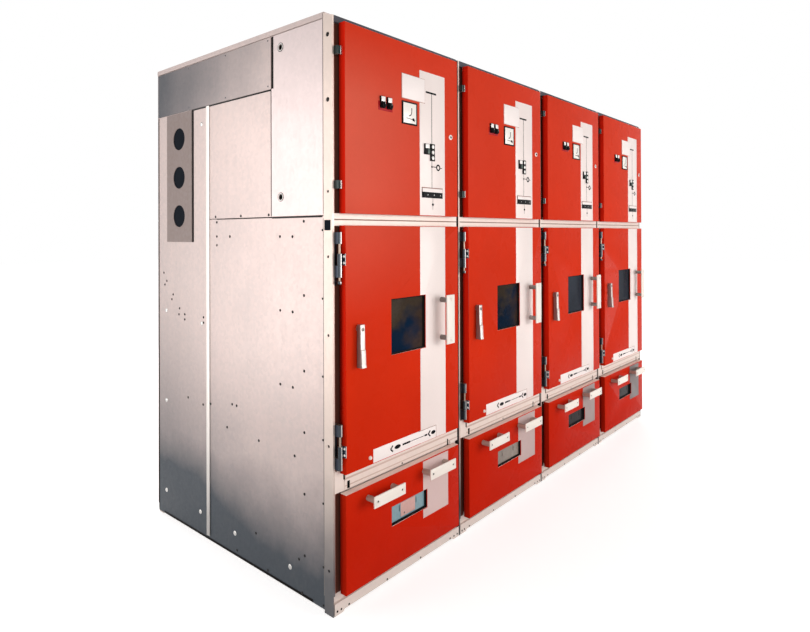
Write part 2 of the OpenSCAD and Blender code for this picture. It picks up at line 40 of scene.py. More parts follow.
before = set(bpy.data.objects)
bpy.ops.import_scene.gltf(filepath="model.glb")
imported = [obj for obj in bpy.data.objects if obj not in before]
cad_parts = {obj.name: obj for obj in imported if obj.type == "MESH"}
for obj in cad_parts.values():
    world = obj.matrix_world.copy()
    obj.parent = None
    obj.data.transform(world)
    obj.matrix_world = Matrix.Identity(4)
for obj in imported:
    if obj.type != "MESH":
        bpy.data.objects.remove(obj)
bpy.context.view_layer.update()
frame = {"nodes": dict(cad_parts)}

MM = 0.001
LEFT = Vector((-1, 0, 0))
RIGHT = Vector((1, 0, 0))
FRONT = Vector((0, -1, 0))
BACK = Vector((0, 1, 0))
UP = Vector((0, 0, 1))


# ---- Places taken from the frame -------------------------------------------------

CUBICLES = sum(name.startswith("breaker_door_") for name in frame["nodes"])
ROW_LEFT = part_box("front_posts")[0].x
ROW_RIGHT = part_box("front_posts")[1].x
PITCH = (ROW_RIGHT - ROW_LEFT) / CUBICLES
FRAME_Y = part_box("front_posts")[0].y
BACK_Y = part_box("rear_covers")[1].y
ROOF_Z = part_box("roof_plates")[1].z


def first_box(node):
    """Corners of a node's solid in the first cubicle."""
    low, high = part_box(node)
    return low, high - Vector(((CUBICLES - 1) * PITCH, 0, 0))


class Face:
    """Front face of a door in the first cubicle, measured in mm from its lower left corner."""

    def __init__(self, node):
        door_low, door_high = first_box("instrument_doors")
        low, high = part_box(node)
        self.left = door_low.x
        self.width = (door_high.x - door_low.x) / MM
        self.y = door_low.y
        self.bottom = low.z
        self.height = (high.z - low.z) / MM

    def point(self, x, z, out=0.0):
        """The place x to the right and z above the corner, out mm in front of the face."""
        return Vector((self.left + x * MM, self.y - out * MM, self.bottom + z * MM))

    def local(self, place):
        """The x and z, in mm, of a place in the frame."""
        return (place.x - self.left) / MM, (place.z - self.bottom) / MM


INSTRUMENT = Face("instrument_doors")
BREAKER = Face("breaker_door_1")
COVER = Face("cable_covers")


# ---- Settings --------------------------------------------------------------------


def colour_setting(name, description, value):
    return bpy.props.FloatVectorProperty(
        name=name, description=description, default=value, size=3, subtype="COLOR", min=0, max=1
    )


def length_setting(name, description, value):
    return bpy.props.FloatProperty(
        name=name, description=description, default=value * MM, unit="LENGTH", subtype="DISTANCE", min=0
    )


class SteelSettings(bpy.types.PropertyGroup):
    zinc: colour_setting("Zinc", "Colour of the galvanised sheets", (0.56, 0.46, 0.435))
    zinc_dark: colour_setting("Dull zinc", "Colour of dull zinc crystals", (0.36, 0.34, 0.34))
    # Colour that painted shade darkens the zinc to, near the floor and towards the back.
    painted_shade: colour_setting("Grime", "Colour of dulled zinc near the floor", (0.045, 0.055, 0.068))
    frame: colour_setting("Frame", "Colour of the front frame", (0.80, 0.70, 0.64))
    hinge: colour_setting("Hinge", "Colour of the dark hinge leaves", (0.035, 0.045, 0.065))
    bright: colour_setting("Bright steel", "Colour of pins, knuckles and bolts", (0.62, 0.61, 0.59))
    crystal: length_setting("Crystal size", "Size of the zinc crystals", 14)


class EnamelSettings(bpy.types.PropertyGroup):
    red: colour_setting("Red", "Colour of doors and covers", (0.66, 0.028, 0.005))
    cream: colour_setting("Cream", "Colour of the handle plates", (0.90, 0.85, 0.78))
    strip: colour_setting("Strip", "Colour of the mimic strips", (0.90, 0.80, 0.77))
    ink: colour_setting("Ink", "Colour of the mimic lines", (0.006, 0.006, 0.008))
    edge: length_setting("Door edge", "Radius of the doors' folded edges", 2.2)


class FittingSettings(bpy.types.PropertyGroup):
    strip: length_setting("Strip thickness", "Thickness of the mimic strips", 0.8)
    line: length_setting("Line thickness", "Thickness of the mimic lines", 0.4)
    bolt: length_setting("Bolt bore", "Radius of the rear cover bolts' bores", 6)
    rivet: length_setting("Rivet radius", "Radius of the wall rivets", 6)
    screw: length_setting("Screw radius", "Radius of the screw heads", 4.5)


class StageSettings(bpy.types.PropertyGroup):
    lens: bpy.props.FloatProperty(
        name="Lens", description="Focal length in mm on a 36 mm sensor", default=26.66, min=1
    )
    eye: bpy.props.FloatVectorProperty(
        name="Eye", description="Camera's place from the row's lower front left corner",
        default=(-1.5126, -1.6639, 1.4267), size=3, unit="LENGTH", subtype="TRANSLATION",
    )
    heading: bpy.props.FloatProperty(
        name="Heading", description="Turn of the camera from the back towards the right",
        default=0.8616, unit="ROTATION", subtype="ANGLE",
    )
    tilt: bpy.props.FloatProperty(
        name="Tilt", description="Upward tilt of the camera", default=0.0047,
        unit="ROTATION", subtype="ANGLE",
    )
    roll: bpy.props.FloatProperty(
        name="Roll", description="Clockwise roll of the camera", default=0.0035,
        unit="ROTATION", subtype="ANGLE",
    )
    key: bpy.props.FloatProperty(name="Key", description="Power of the side lamp", default=26, unit="POWER")
    fill: bpy.props.FloatProperty(
        name="Fill", description="Power of the front lamp", default=200, unit="POWER",
    )
    near: bpy.props.FloatProperty(
        name="Near", description="Power of the lamp by the camera", default=38, unit="POWER",
    )
    ambient: bpy.props.FloatProperty(name="Ambient", description="Strength of the room's light", default=0.20)


def steel():
    return bpy.context.scene.switchgear_steel


def enamel():
    return bpy.context.scene.switchgear_enamel


def fittings():
    return bpy.context.scene.switchgear_fittings


# ---- Modelling helpers -----------------------------------------------------------


def deselect():
    if bpy.context.object and bpy.context.object.mode != "OBJECT":
        bpy.ops.object.mode_set(mode="OBJECT")
    bpy.ops.object.select_all(action="DESELECT")


def choose(ob):
    """Makes ob the only selected object and the active one."""
    deselect()
    ob.hide_set(False)
    ob.select_set(True)
    bpy.context.view_layer.objects.active = ob


def settle(ob):
    """Puts the object's place, turn and scale into its mesh."""
    choose(ob)
    bpy.ops.object.transform_apply(location=True, rotation=True, scale=True)
    return ob


def added(name):
    """Names and settles the primitive just added."""
    ob = bpy.context.object
    ob.name = name
    return settle(ob)


@contextmanager
def shaping(ob, kind, test):
    """Edit mode with the vertices, edges or faces of ob selected for which test holds."""
    choose(ob)
    bpy.ops.object.mode_set(mode="EDIT")
    bpy.ops.mesh.select_mode(type=kind)
    bpy.ops.mesh.select_all(action="DESELECT")
    bpy.ops.object.mode_set(mode="OBJECT")
    mesh = ob.data
    if kind == "FACE":
        for face in mesh.polygons:
            face.select = test(face)
    elif kind == "EDGE":
        for edge in mesh.edges:
            a, b = (mesh.vertices[i].co for i in edge.vertices)
            edge.select = test(a, b)
    else:
        for vertex in mesh.vertices:
            vertex.select = test(vertex.co)
    bpy.ops.object.mode_set(mode="EDIT")
    yield
    bpy.ops.object.mode_set(mode="OBJECT")


def facing(direction):
    """Test for faces that look in a direction."""
    return lambda face: face.normal.dot(direction) > 0.99


def everything(*_):
    return True


def along(direction):
    """Test for edges that run in a direction."""
    return lambda a, b: abs((b - a).normalized().dot(direction)) > 0.99


def block(name, a, b):
    """A cuboid between two opposite corners."""
    deselect()
    low = Vector(map(min, a, b))
    high = Vector(map(max, a, b))
    bpy.ops.mesh.primitive_cube_add(size=1, location=(low + high) / 2, scale=high - low)
    return added(name)


def rod(name, start, end, radius, sides=32):
    """A round bar between two places."""
    deselect()
    run = Vector(end) - Vector(start)
    turn = run.to_track_quat("Z", "Y").to_euler()
    middle = (Vector(start) + Vector(end)) / 2
    bpy.ops.mesh.primitive_cylinder_add(
        vertices=sides, radius=radius, depth=run.length, location=middle, rotation=turn
    )
    return added(name)


def round_edges(ob, radius, test=everything, segments=2):
    """Rounds the chosen edges of ob."""
    with shaping(ob, "EDGE", test):
        bpy.ops.mesh.bevel(offset=radius, segments=segments, affect="EDGES")
    return smooth(ob)


def smooth(ob, angle=35):
    choose(ob)
    bpy.ops.object.shade_smooth_by_angle(angle=math.radians(angle))
    return ob


def cut(ob, tool):
    """Takes the tool's shape out of ob and removes the tool."""
    choose(ob)
    cutter = ob.modifiers.new("Cut", "BOOLEAN")
    cutter.operation = "DIFFERENCE"
    cutter.solver = "EXACT"
    cutter.object = tool
    bpy.ops.object.modifier_apply(modifier=cutter.name)
    bpy.data.objects.remove(tool)
    return ob


def joined(name, parts):
    """One object made of several."""
    choose(parts[0])
    for part in parts[1:]:
        part.select_set(True)
    if len(parts) > 1:
        bpy.ops.object.join()
    parts[0].name = name
    return parts[0]


def copied(ob, offset, name=None):
    """A copy of ob, with its own mesh, moved by offset."""
    choose(ob)
    bpy.ops.object.duplicate(linked=False)
    twin = bpy.context.object
    twin.location = Vector(offset)
    settle(twin)
    if name:
        twin.name = name
    return twin


def turned(ob, direction):
    """Turns ob, modelled at the origin to look to the front, so that it looks in a direction."""
    ob.rotation_euler = FRONT.rotation_difference(direction).to_euler()
    return settle(ob)


def scattered(name, model, places):
    """Copies of a model, made at the origin, at every place, as one object."""
    copies = [copied(model, place) for place in places]
    bpy.data.objects.remove(model)
    return joined(name, copies)


def in_every_cubicle(ob):
    """Repeats ob from the first cubicle in the others, as one object."""
    name = ob.name
    others = [copied(ob, (k * PITCH, 0, 0)) for k in range(1, CUBICLES)]
    return joined(name, [ob, *others])


def on_every_door(ob, body="door"):
    """Repeats ob from the first cubicle in the others, each copy riding its own door or lever."""
    name = ob.name
    made = [ob] + [copied(ob, (k * PITCH, 0, 0)) for k in range(1, CUBICLES)]
    for k, piece in enumerate(made, start=1):
        piece.name = f"{name}_{k}"
        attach(piece, f"{body}_{k}")
    return made


def on_row(ob):
    """Makes ob ride the standing row."""
    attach(ob, "row")
    return ob


def paint(ob, *materials):
    """Gives ob its materials, the first of them all over."""
    ob.data.materials.clear()
    for material in materials:
        ob.data.materials.append(material)
    for face in ob.data.polygons:
        face.material_index = 0
    return ob


def paint_faces(ob, index, test):
    """Gives the faces for which test holds another of ob's materials."""
    for face in ob.data.polygons:
        if test(face):
            face.material_index = index
    return ob


def dress(node, material):
    """Gives a CAD node its material."""
    frame["nodes"][node].material_slots[0].material = material


def merged_copy(node, name):
    """A merged copy of a CAD node, with whole faces, that stands for it."""
    ob = bpy.data.objects.new(name, frame["nodes"][node].data.copy())
    bpy.context.scene.collection.objects.link(ob)
    with shaping(ob, "VERT", everything):
        bpy.ops.mesh.remove_doubles(threshold=0.01 * MM)
        bpy.ops.mesh.dissolve_limited(angle_limit=math.radians(0.5))
    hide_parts(node)
    return ob


# ---- Shader groups ---------------------------------------------------------------


def start_group(name, inputs, outputs):
    """A shader group with named sockets; inputs are (name, kind, default)."""
    tree = bpy.data.node_groups.new(name, "ShaderNodeTree")
    for title, kind, value in inputs:
        socket = tree.interface.new_socket(name=title, in_out="INPUT", socket_type=kind)
        socket.default_value = value
    for title, kind in outputs:
        tree.interface.new_socket(name=title, in_out="OUTPUT", socket_type=kind)
    return tree, tree.nodes.new("NodeGroupInput").outputs, tree.nodes.new("NodeGroupOutput").inputs


def noise(tree, vector, scale, detail=2.0, roughness=0.5):
    """Grey noise; scale may be a number or a socket."""
    texture = tree.nodes.new("ShaderNodeTexNoise")
    texture.inputs["Detail"].default_value = detail
    texture.inputs["Roughness"].default_value = roughness
    tree.links.new(vector, texture.inputs["Vector"])
    give(tree, texture.inputs["Scale"], scale)
    return texture.outputs["Fac"]


def give(tree, socket, value):
    """Links a socket to another, or sets its value."""
    if isinstance(value, bpy.types.NodeSocket):
        tree.links.new(value, socket)
    else:
        socket.default_value = value


def maths(tree, operation, a, b=0.0):
    step = tree.nodes.new("ShaderNodeMath")
    step.operation = operation
    give(tree, step.inputs[0], a)
    give(tree, step.inputs[1], b)
    return step.outputs[0]


def spread(tree, value, low, high, to_low=0.0, to_high=1.0):
    """Maps a value from one range to another, clamped."""
    step = tree.nodes.new("ShaderNodeMapRange")
    for name, number in (("From Min", low), ("From Max", high), ("To Min", to_low), ("To Max", to_high)):
        give(tree, step.inputs[name], number)
    tree.links.new(value, step.inputs["Value"])
    return step.outputs["Result"]


def blend(tree, factor, a, b, kind="MIX"):
    """Mixes two colours."""
    step = tree.nodes.new("ShaderNodeMix")
    step.data_type = "RGBA"
    step.blend_type = kind
    give(tree, step.inputs["Factor"], factor)
    give(tree, step.inputs[6], a)
    give(tree, step.inputs[7], b)
    return step.outputs[2]


def object_place(tree, scale=(1, 1, 1)):
    """Object coordinates, stretched by scale."""
    place = tree.nodes.new("ShaderNodeTexCoord").outputs["Object"]
    if scale == (1, 1, 1):
        return place
    stretch = tree.nodes.new("ShaderNodeMapping")
    stretch.inputs["Scale"].default_value = scale
    tree.links.new(place, stretch.inputs["Vector"])
    return stretch.outputs["Vector"]


def zinc_group():
    """Crystals and rolling streaks of a galvanised sheet, with painted shade near the floor, deepest at the
    back, and, if asked, painted shade towards the back at any height.
    """
    tree, given, out = start_group(
        "Zinc Sheet",
        [("Bright", "NodeSocketColor", (0.6, 0.6, 0.6, 1)), ("Dull", "NodeSocketColor", (0.4, 0.4, 0.4, 1)),
         ("Grime", "NodeSocketColor", (0.1, 0.1, 0.1, 1)), ("Crystal Size", "NodeSocketFloat", 0.014),
         ("Contrast", "NodeSocketFloat", 0.5), ("Floor Grime", "NodeSocketFloat", 1.0),
         ("Back Grime", "NodeSocketFloat", 0.0)],
        [("Colour", "NodeSocketColor"), ("Roughness", "NodeSocketFloat"), ("Height", "NodeSocketFloat")],
    )
    place = object_place(tree)
    crystals = tree.nodes.new("ShaderNodeTexVoronoi")
    tree.links.new(place, crystals.inputs["Vector"])
    tree.links.new(maths(tree, "DIVIDE", 1.0, given["Crystal Size"]), crystals.inputs["Scale"])
    grain = tree.nodes.new("ShaderNodeSeparateColor")
    tree.links.new(crystals.outputs["Color"], grain.inputs["Color"])
    clouds = noise(tree, place, 2.2, 4.0)
    streaks = noise(tree, object_place(tree, (30, 30, 1.2)), 1.0, 3.0)
    patchy = maths(tree, "ADD", maths(tree, "MULTIPLY", clouds, 0.55), maths(tree, "MULTIPLY", streaks, 0.25))
    mixed = maths(tree, "ADD", patchy, maths(tree, "MULTIPLY", grain.outputs["Red"], 0.2))
    dullness = maths(tree, "MULTIPLY", spread(tree, mixed, 0.35, 0.75), given["Contrast"])
    tone = blend(tree, dullness, given["Bright"], given["Dull"])
    axes = tree.nodes.new("ShaderNodeSeparateXYZ")
    tree.links.new(place, axes.inputs["Vector"])
    wander = spread(tree, clouds, 0.3, 0.7, -0.08, 0.08)
    height = maths(tree, "ADD", axes.outputs["Z"], wander)
    depth = maths(tree, "ADD", axes.outputs["Y"], wander)
    # Painted shade: the sheet is darkened towards the floor, more so towards the back, and, by the back
    # share, towards the rear at any height.
    dark = spread(tree, height, 0.13, 0.46, 0.72, 0.0)
    behind = spread(tree, depth, -0.2, 0.6, 0.0, 0.5)
    rear = maths(tree, "MULTIPLY", behind, spread(tree, height, 0.3, 1.25, 1.0, 0.0))
    low = maths(tree, "ADD", dark, maths(tree, "ADD", rear, spread(tree, height, 0.1, 1.0, 0.28, 0.0)))
    far = maths(tree, "MULTIPLY", spread(tree, depth, -0.5, 0.66), given["Back Grime"])
    painted_shade = maths(tree, "MAXIMUM", maths(tree, "MULTIPLY", low, given["Floor Grime"]), far)
    tree.links.new(blend(tree, painted_shade, tone, given["Grime"]), out["Colour"])
    rough = maths(tree, "ADD", maths(tree, "MULTIPLY", grain.outputs["Green"], 0.07), 0.34)
    tree.links.new(maths(tree, "ADD", rough, maths(tree, "MULTIPLY", clouds, 0.14)), out["Roughness"])
    flakes = maths(tree, "MULTIPLY", grain.outputs["Blue"], 0.05)
    tree.links.new(maths(tree, "ADD", maths(tree, "MULTIPLY", clouds, 3.0), flakes), out["Height"])
    return tree


def skin_group():
    """Slight waviness and shade of a sprayed or moulded skin."""
    tree, given, out = start_group(
        "Sprayed Skin",
        [("Colour", "NodeSocketColor", (0.8, 0.8, 0.8, 1)), ("Shade", "NodeSocketFloat", 0.1),
         ("Gloss", "NodeSocketFloat", 0.3), ("Peel", "NodeSocketFloat", 350.0)],
        [("Colour", "NodeSocketColor"), ("Roughness", "NodeSocketFloat"), ("Height", "NodeSocketFloat")],
    )
    place = object_place(tree)
    clouds = noise(tree, place, 3.0, 3.0)
    specks = noise(tree, place, 90.0, 2.0)
    shade = maths(tree, "ADD", maths(tree, "MULTIPLY", clouds, 0.8), maths(tree, "MULTIPLY", specks, 0.2))
    factor = maths(tree, "MULTIPLY", spread(tree, shade, 0.35, 0.65), given["Shade"])
    tree.links.new(blend(tree, factor, given["Colour"], (0.0, 0.0, 0.0, 1)), out["Colour"])
    wander = spread(tree, noise(tree, place, 9.0, 3.0), 0.3, 0.7, -0.04, 0.06)
    tree.links.new(maths(tree, "ADD", given["Gloss"], wander), out["Roughness"])
    tree.links.new(noise(tree, place, given["Peel"], 1.0), out["Height"])
    return tree


def marks_group():
    """Smudges left by hands and dust, as a thin film over a colour."""
    tree, given, out = start_group(
        "Handling Marks",
        [("Colour", "NodeSocketColor", (0.8, 0.8, 0.8, 1)), ("Film", "NodeSocketColor", (0.5, 0.45, 0.4, 1)),
         ("Amount", "NodeSocketFloat", 0.1), ("Roughness", "NodeSocketFloat", 0.3)],
        [("Colour", "NodeSocketColor"), ("Roughness", "NodeSocketFloat")],
    )
    place = object_place(tree)
    broad = spread(tree, noise(tree, place, 5.0, 5.0, 0.6), 0.5, 0.75)
    fine = spread(tree, noise(tree, object_place(tree, (1, 1, 0.35)), 55.0, 4.0, 0.65), 0.45, 0.8)
    film = maths(tree, "MULTIPLY", maths(tree, "MULTIPLY", broad, fine), given["Amount"])
    tree.links.new(blend(tree, film, given["Colour"], given["Film"]), out["Colour"])
    dulled = maths(tree, "ADD", given["Roughness"], maths(tree, "MULTIPLY", film, 0.5))
    tree.links.new(dulled, out["Roughness"])
    return tree


GROUP_MAKERS = {"Zinc Sheet": zinc_group, "Sprayed Skin": skin_group, "Handling Marks": marks_group}


def group(tree, name, **values):
    """Places a shader group, building it the first time, with its own values."""
    made = bpy.data.node_groups.get(name) or GROUP_MAKERS[name]()
    placed = tree.nodes.new("ShaderNodeGroup")
    placed.node_tree = made
    for title, value in values.items():
        give(tree, placed.inputs[title.replace("_", " ")], value)
    return placed.outputs


# ---- Materials -------------------------------------------------------------------


def rgba(colour):
    return (*colour[:3], 1.0)


def start_material(name, **values):
    """A material with one Principled shader, whose plain values are set on its own sockets."""
    material = bpy.data.materials.new(name)
    material.use_nodes = True
    shader = material.node_tree.nodes["Principled BSDF"]
    for title, value in values.items():
        shader.inputs[title.replace("_", " ")].default_value = value
    return material, material.node_tree, shader.inputs


def bump(tree, shader, height, distance, strength=1.0):
    step = tree.nodes.new("ShaderNodeBump")
    step.inputs["Strength"].default_value = strength
    step.inputs["Distance"].default_value = distance
    tree.links.new(height, step.inputs["Height"])
    tree.links.new(step.outputs["Normal"], shader["Normal"])


# The floor and back shares set how strongly painted shade darkens the sheet near the floor and towards the
# back.
def zinc(name, colour, contrast, metallic, floor_painted_shade=1.0, back_painted_shade=0.0):
    material, tree, shader = start_material(name, Metallic=metallic)
    sheet = group(tree, "Zinc Sheet", Bright=rgba(colour), Dull=rgba(steel().zinc_dark),
                  Grime=rgba(steel().painted_shade), Crystal_Size=steel().crystal, Contrast=contrast,
                  Floor_Grime=floor_painted_shade, Back_Grime=back_painted_shade)
    marks = group(tree, "Handling Marks", Colour=sheet["Colour"], Film=(0.30, 0.27, 0.25, 1),
                  Amount=0.25, Roughness=sheet["Roughness"])
    tree.links.new(marks["Colour"], shader["Base Color"])
    tree.links.new(marks["Roughness"], shader["Roughness"])
    bump(tree, shader, sheet["Height"], 0.0012)
    return material


def skin(name, colour, gloss, shade=0.1, film=0.1, peel=350.0, height=0.00006, **values):
    """Paint or plastic with a sprayed skin and handling marks."""
    material, tree, shader = start_material(name, **values)
    coat = group(tree, "Sprayed Skin", Colour=rgba(colour), Shade=shade, Gloss=gloss, Peel=peel)
    marks = group(tree, "Handling Marks", Colour=coat["Colour"], Film=(0.42, 0.38, 0.34, 1),
                  Amount=film, Roughness=coat["Roughness"])
    tree.links.new(marks["Colour"], shader["Base Color"])
    tree.links.new(marks["Roughness"], shader["Roughness"])
    bump(tree, shader, coat["Height"], height)
    return material


def metal(name, colour, gloss, film=0.3):
    """Turned or pressed steel with fine brushing."""
    return skin(name, colour, gloss, shade=0.25, film=film, peel=900.0, height=0.00004, Metallic=0.85)


def side_lit_steel(name):
    """Polished turned steel with painted light: a painted highlight on the side towards the door and painted
    shade on the side towards the wall.
    """
    material, tree, shader = start_material(name, Metallic=0.85)
    axes = tree.nodes.new("ShaderNodeSeparateXYZ")
    tree.links.new(tree.nodes.new("ShaderNodeTexCoord").outputs["Normal"], axes.inputs["Vector"])
    # Painted highlight and painted shade by the way a face turns.
    painted_lit_side = spread(tree, axes.outputs["X"], -0.40, 0.15)
    base = blend(tree, painted_lit_side, (0.05, 0.06, 0.07, 1), (0.80, 0.78, 0.76, 1))
    coat = group(tree, "Sprayed Skin", Colour=base, Shade=0.2, Gloss=0.28, Peel=900.0)
    tree.links.new(coat["Colour"], shader["Base Color"])
    tree.links.new(coat["Roughness"], shader["Roughness"])
    bump(tree, shader, coat["Height"], 0.00004)
    return material


def reflection_painted_glass(name):
    """Dark inspection glass with painted reflections in soft streaks: olive above, navy to the left and brown
    to the right below, fading into plain slate across the second door.
    """
    material, tree, shader = start_material(
        name, Roughness=0.08, IOR=1.10, Transmission_Weight=0.30, Specular_IOR_Level=0.10
    )
    place = object_place(tree)
    axes = tree.nodes.new("ShaderNodeSeparateXYZ")
    tree.links.new(place, axes.inputs["Vector"])
    streaks = noise(tree, object_place(tree, (0.7, 1.0, 1.0)), 11.0, 3.0)
    waver = spread(tree, streaks, 0.3, 0.7, -0.08, 0.08)
    along = maths(tree, "DIVIDE", maths(tree, "SUBTRACT", axes.outputs["X"], ROW_LEFT), PITCH)
    across = maths(tree, "ADD", maths(tree, "FRACT", along), waver)
    lean = maths(tree, "MULTIPLY", across, 0.3)
    slope = maths(tree, "ADD", maths(tree, "SUBTRACT", axes.outputs["Z"], lean), waver)
    # Painted reflections: navy and brown below, olive above, slate further along the row.
    lower = blend(tree, spread(tree, across, 0.50, 0.62), (0.003, 0.022, 0.062, 1), (0.075, 0.045, 0.034, 1))
    upper = blend(tree, spread(tree, slope, 0.90, 0.96), lower, (0.080, 0.058, 0.040, 1))
    slate = blend(tree, spread(tree, along, 1.6, 2.2), upper, (0.050, 0.060, 0.082, 1))
    coat = group(tree, "Sprayed Skin", Colour=slate, Shade=0.5, Gloss=0.04, Peel=9.0)
    tree.links.new(coat["Colour"], shader["Base Color"])
    bump(tree, shader, coat["Height"], 0.0015)
    return material


def dusky_strip(name):
    """White strip that greys from one cubicle to the next along the row."""
    material, tree, shader = start_material(name, Specular_IOR_Level=0.2)
    axes = tree.nodes.new("ShaderNodeSeparateXYZ")
    tree.links.new(object_place(tree), axes.inputs["Vector"])
    along = spread(tree, axes.outputs["X"], ROW_LEFT + 0.7, -ROW_LEFT - 0.1)
    grey = blend(tree, along, (0.68, 0.52, 0.50, 1), (0.15, 0.13, 0.13, 1))
    coat = group(tree, "Sprayed Skin", Colour=grey, Shade=0.08, Gloss=0.4, Peel=350.0)
    tree.links.new(coat["Colour"], shader["Base Color"])
    tree.links.new(coat["Roughness"], shader["Roughness"])
    return material


def light_painted_enamel(name, colour):
    """Door enamel with painted light: a painted sheen on the upper doors by the open end, paler painted light
    higher up, painted shade deepening it at the foot and on the flanks behind the door faces, a painted
    highlight on left-facing flanks and a pale painted highlight on upward faces.
    """
    material, tree, shader = start_material(name, Specular_IOR_Level=0.012)
    height = tree.nodes.new("ShaderNodeSeparateXYZ")
    tree.links.new(object_place(tree), height.inputs["Vector"])
    # Painted sheen: paler enamel on the upper doors near the open end, and painted light growing paler
    # upwards.
    open_end = spread(tree, height.outputs["X"], ROW_LEFT + 0.1, ROW_LEFT + 0.75, 0.11, 0.0)
    rising = spread(tree, height.outputs["Z"], 1.1, 1.6)
    under_roof = spread(tree, height.outputs["Z"], 1.95, 2.2, 1.0, 0.0)
    painted_sheen = maths(tree, "MULTIPLY", open_end, maths(tree, "MULTIPLY", rising, under_roof))
    painted_light = maths(tree, "ADD", painted_sheen, spread(tree, height.outputs["Z"], 0.9, 1.9, 0.0, 0.035))
    # Painted shade: the enamel deepens towards the foot.
    deep = spread(tree, height.outputs["Z"], 0.30, 0.85, 0.5, 0.0)
    lower = blend(tree, deep, rgba(colour), (0.46, 0.004, 0.002, 1))
    paintwork = blend(tree, painted_light, lower, (1.0, 0.60, 0.44, 1))
    coat = group(tree, "Sprayed Skin", Colour=paintwork, Shade=0.08, Gloss=0.28, Peel=350.0)
    marks = group(tree, "Handling Marks", Colour=coat["Colour"], Film=(0.70, 0.10, 0.03, 1),
                  Amount=0.06, Roughness=coat["Roughness"])
    axes = tree.nodes.new("ShaderNodeSeparateXYZ")
    tree.links.new(tree.nodes.new("ShaderNodeTexCoord").outputs["Normal"], axes.inputs["Vector"])
    # Painted highlight: upward faces turn pale.
    painted_top_highlight = spread(tree, axes.outputs["Z"], 0.6, 0.95, 0.0, 0.96)
    place = tree.nodes.new("ShaderNodeSeparateXYZ")
    tree.links.new(tree.nodes.new("ShaderNodeTexCoord").outputs["Object"], place.inputs["Vector"])
    # Painted shade: flanks darken with depth behind the door faces.
    painted_recess_shade = spread(tree, place.outputs["Y"], INSTRUMENT.y + 18 * MM, FRAME_Y, 0.0, 0.7)
    # Painted highlight: left-facing flanks above the foot turn a brighter red.
    facing_left = spread(tree, axes.outputs["X"], -0.9, -0.5, 1.0, 0.0)
    painted_flank_highlight = maths(tree, "MULTIPLY", facing_left, spread(tree, height.outputs["Z"], 0.45, 0.9))
    bright = blend(tree, painted_flank_highlight, marks["Colour"], (0.86, 0.020, 0.006, 1))
    flank = blend(tree, painted_recess_shade, bright, (0.12, 0.006, 0.004, 1))
    tree.links.new(blend(tree, painted_top_highlight, flank, (0.97, 0.78, 0.70, 1)), shader["Base Color"])
    tree.links.new(marks["Roughness"], shader["Roughness"])
    bump(tree, shader, coat["Height"], 0.00006)
    return material


